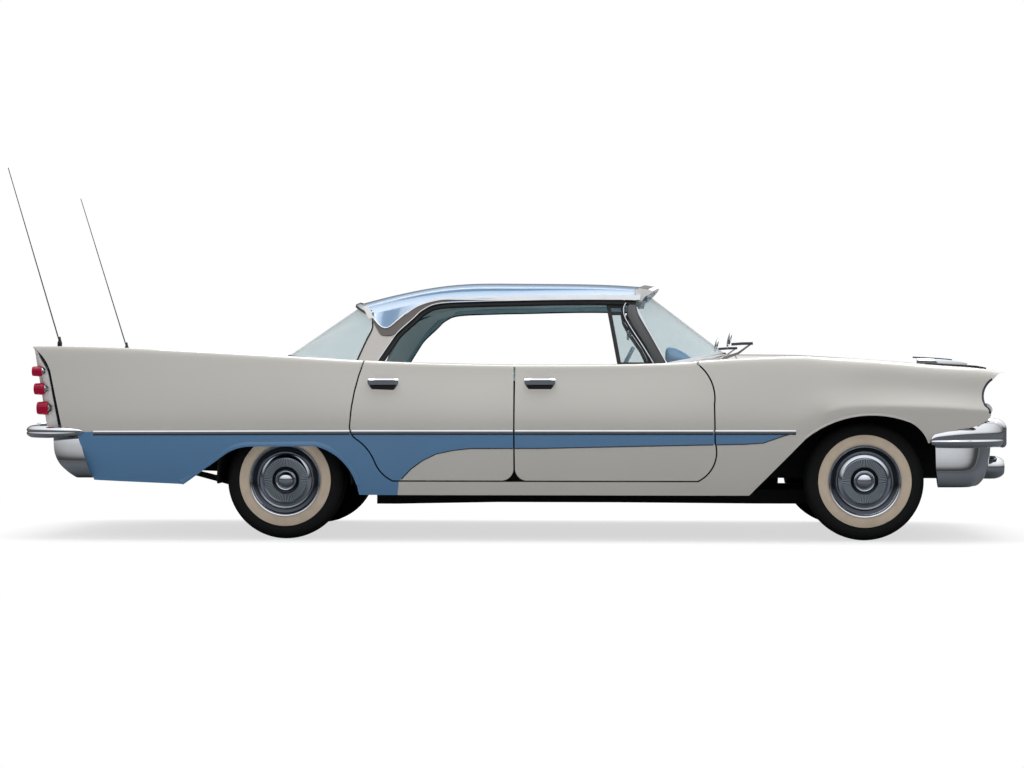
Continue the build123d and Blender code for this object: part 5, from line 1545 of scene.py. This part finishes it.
def bench(name, front_x, back_x, floor_z, cushion_z, back_z, half_width, node):
    x0, x1, z0, z1 = front_x - 6, back_x + 170, floor_z + 90, cushion_z - 4
    sides = {
        "cushion": [(x0, z0), (x0 + 2, z1 - 40), (x0 - 30, z1 - 6), (x0 - 80, z1), (x1 + 60, z1 - 26),
                    (x1, z1 - 34), (x1, z0)],
        "back": [(back_x + 176, z1 - 60), (back_x + 186, z1 - 20), (back_x + 110, back_z - 60),
                 (back_x + 86, back_z - 16), (back_x + 50, back_z - 2), (back_x + 20, back_z - 20),
                 (back_x + 8, back_z - 60), (back_x + 6, z1 - 60)]}
    for part, side in sides.items():
        middle_x, middle_z = (sum(values) / len(side) for values in zip(*side))
        sections = []
        for i in range(RIBS * 2 + 1):
            y = half_width * (i / RIBS - 1)
            edge = min(1.0, (half_width - abs(y)) / SIDE_ROUNDING)
            k = (0.9 + 0.1 * math.sqrt(max(edge, 0))) * (1.0 if i % 2 else 1 - RIB_DEPTH)
            sections.append([(middle_x + (x - middle_x) * k, y, middle_z + (z - middle_z) * k)
                             for x, z in side])
        piece = add(f"{name}_{part}", skinned(sections), BLUE_TRIM, "blue_trim", smooth=1, crease=60,
                    replaces=[node] if part == "cushion" else [])
    base = block(x1 + 10, x0 - 30, 30 - half_width, half_width - 30, floor_z + 2, z0 + 4, 6)
    add(name + "_base", base, UNDERBODY, "underbody_black")


bench("front_bench", XF - 1350, XF - 2020, 270, 560, 930, 680, "front_seat")
bench("rear_bench", XR + 930, XR + 386, 438, 590, 950, 670, "rear_seat")

# %% Dash, column and steering wheel
WHEEL_Y = 390
DASH = outline((840, 945), (600, 950), ((558, 940), (550, 905)), (590, 770), (620, 700), (840, 690))
add("dash_panel", side_prism(DASH, -796, 796), DASH_BLUE, "blue_trim", replaces=["dashboard"])
add("dash_bright_strip", side_prism([(556, 900), (552, 916), (548, 916), (552, 898)], -780, 780))
HOOD_ROWS = [(716, 0.3), (690, 0.55), (640, 0.8), (590, 0.96), (556, 1.0), (540, 0.95), (534, 0.84)]
DASH_TOP = 940


def hood_row(x, k):
    """An arch over the instruments, as wide and tall as k says."""
    half_width, height = 150 * (0.6 + 0.4 * k), 145 * k
    turns = [math.pi * i / 16 for i in range(17)]
    return [(x, WHEEL_Y + half_width * math.cos(turn), DASH_TOP + height * max(math.sin(turn), 0) ** 0.7)
            for turn in turns]


add("instrument_hood", skinned([hood_row(x, k) for x, k in HOOD_ROWS]), DASH_BLUE, "blue_trim", crease=50)
RAKE = math.radians(28)
COLUMN = Vector((-math.cos(RAKE), 0, math.sin(RAKE)))
CENTRE = Vector((XF - 1360, WHEEL_Y, 895))


def on_column(back, profile, steps):
    """A profile spun about the column, from a place so far down it from the wheel's centre."""
    return turned(profile, CENTRE - COLUMN * back, COLUMN, steps)


column = on_column(454, [(0, 0), (0, 26), (380, 26), (400, 22), (404, 0)], 40)
add("steering_column", column, BLUE_TRIM, "blue_trim")
rim = on_column(0, circle(12, 10, 12, 1, (0, 208)), 96)
SPOKES = [(-200, 0), (-90, 14), (0, 20), (90, 14), (200, 0)]
spokes = swept([CENTRE + Vector((0, y, 0)) - COLUMN * back for y, back in SPOKES],
               [(-11, -4), (-11, 4), (11, 4), (11, -4)], COLUMN)
add("wheel_rim", joined(rim, spokes), PLASTIC, "wheel_plastic", "steering_wheel", replaces=["steering_wheel"])
hub = on_column(10, [(-34, 14), (-34, 34), (0, 34), (16, 26), (24, 0)], 48)
add("horn_ring", joined(on_column(6, circle(4, 4, 8, 1, (-2, 120)), 72), hub), body="steering_wheel")

# %% Trim on the doors, and carpet
for end, x0, x1, low, middle in (("front", B_LINE + 40, 700, 380, (B_LINE + 740) / 2),
                                 ("rear", -1060, B_LINE - 40, 470, (B_LINE - 1190) / 2)):
    body = end + "_door_{}"
    armrest = block(middle - 160, middle + 120, 790, 830, 690, 740, 12)
    add_pair(end + "_door_trim", block(x0, x1, 828, 837, low, 930, 3), BLUE_TRIM, "blue_trim", body)
    add_pair(end + "_armrest", armrest, BLUE_TRIM, "blue_trim", body)
add("carpet", joined(block(-690, 900, -800, -112, 271, 276), block(-690, 900, 112, 800, 271, 276)), CARPET,
    "blue_trim")
print("cabin done")

# %% Frame rails and nose panel, cut back behind the bumpers
# node | boxes cut away from it: x from, to, z from, to
CUT_BACK = {"frame_rails": [(1930, 2150, 100, 304), (2150, 2500, 90, 440), (-3400, -2800, 400, 700)],
            "nose_panel": [(2100, 2300, 90, 304)]}
for node, boxes in CUT_BACK.items():
    copy = welded_copy(node)
    cutters = [add_object("cutter", block(x0, x1, -WIDE, WIDE, z0, z1)) for x0, x1, z0, z1 in boxes]
    settle(carve(copy, None, cutters, node + "_trimmed"), "body", "underbody_black", UNDERBODY, 20, [node])
    drop(copy, *cutters)

# %% [markdown]
# ## Running gear
# The arms, axle, engine and knuckles keep their CAD shapes, which is what one sees under such
# a car: pressed and cast parts, dulled by road dirt.

# %% Finishes for the CAD nodes that stay
STAY = {"front_suspension": UNDERBODY, "rear_axle": UNDERBODY, "engine": CAST,
        "knuckle_left": CAST, "knuckle_right": CAST}
for node, material in STAY.items():
    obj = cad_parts[node]
    obj.data.materials.clear()
    obj.data.materials.append(material)
drop(body_hull, inner_hull, deep_hull)
print("CAD nodes that show:", sorted(STAY))

# %% [markdown]
# ## Studio
# The car stands on a plain white floor under broad soft light. The floor and the world are
# white only to what looks at them directly or through glass; everything else meets a sky
# that is bright above and greyer at the horizon, which gives the chrome and the flanks their
# shading.

# %% Floor and world
floor_bm = bmesh.new()
bmesh.ops.create_grid(floor_bm, x_segments=1, y_segments=1, size=60)
studio_floor = add_object("studio_floor", floor_bm)
ground = Finish("studio_ground", srgb(240, 240, 240), Roughness=0.9)
seen, glossy = ground.rays()
unseen = ground.mix(glossy, srgb(186, 186, 186), srgb(70, 74, 79))
ground.put("Base Color", ground.mix(seen, unseen, srgb(243, 243, 243)))
gx, gy = ground.axes()[:2]
away = ((gx * 0.8) ** 2 + (gy + 0.3) * (gy + 0.3) * 1.4) ** 0.5
glow = ground.node("ShaderNodeEmission", inputs={"Color": (1, 1, 1, 1), "Strength": 1.0})
ground.veil(seen * ground.spread(away, 2.0, 5.0, 0.66, 1.0), Field(ground, ground.shader.outputs[0]), glow)
studio_floor.data.materials.append(ground.material)

world = bpy.data.worlds.new("studio")
bpy.context.scene.world = world
world.use_nodes = True
sky = Graph(world.node_tree)
facing = sky.node("ShaderNodeTexCoord", output="Generated")
upward = sky.node("ShaderNodeSeparateXYZ", inputs={0: facing}, output=2)
SKY_LEVELS = [(0.03, 0.04), (0.11, 0.06), (0.22, 0.36), (0.45, 0.72)]
SKY = [(0, (0.16, 0.16, 0.16, 1)), *((at, (level, level, level * 1.02, 1)) for at, level in SKY_LEVELS),
       (1, (1.15, 1.16, 1.18, 1))]
seen, glossy = sky.rays()
lit = sky.node("ShaderNodeVectorMath", {"operation": "SCALE"}, {
    0: sky.ramp(upward, SKY), "Scale": glossy * 0.5 + 0.8})
sky.plug(sky.tree.nodes["Background"].inputs[0], sky.mix(seen, lit, (1, 1, 1, 1)))


# %% Lamp and camera
def stand(name, data, place, turn):
    """An object for a lamp or camera, at a place in metres."""
    obj = bpy.data.objects.new(name, data)
    bpy.context.scene.collection.objects.link(obj)
    obj.location, obj.rotation_euler = place, turn
    return obj


lamp_data = bpy.data.lights.new("overhead_light", "AREA")
lamp_data.shape, lamp_data.size, lamp_data.size_y, lamp_data.energy = "RECTANGLE", 9, 5, 620
LAMP_PLACE = Vector((0, 0.5, 6))
stand("overhead_light", lamp_data, LAMP_PLACE, (-LAMP_PLACE).to_track_quat("-Z", "Y").to_euler())
camera_data = bpy.data.cameras.new("camera")
camera_data.lens, camera_data.sensor_width = 80.84, 36
camera_place, camera_turn = (0.2565 + SHIFT / 1000, -13.563, 0.862), (math.radians(90), 0, math.radians(2.68))
bpy.context.scene.camera = stand("camera", camera_data, camera_place, camera_turn)
bpy.context.scene.view_settings.view_transform = "Standard"
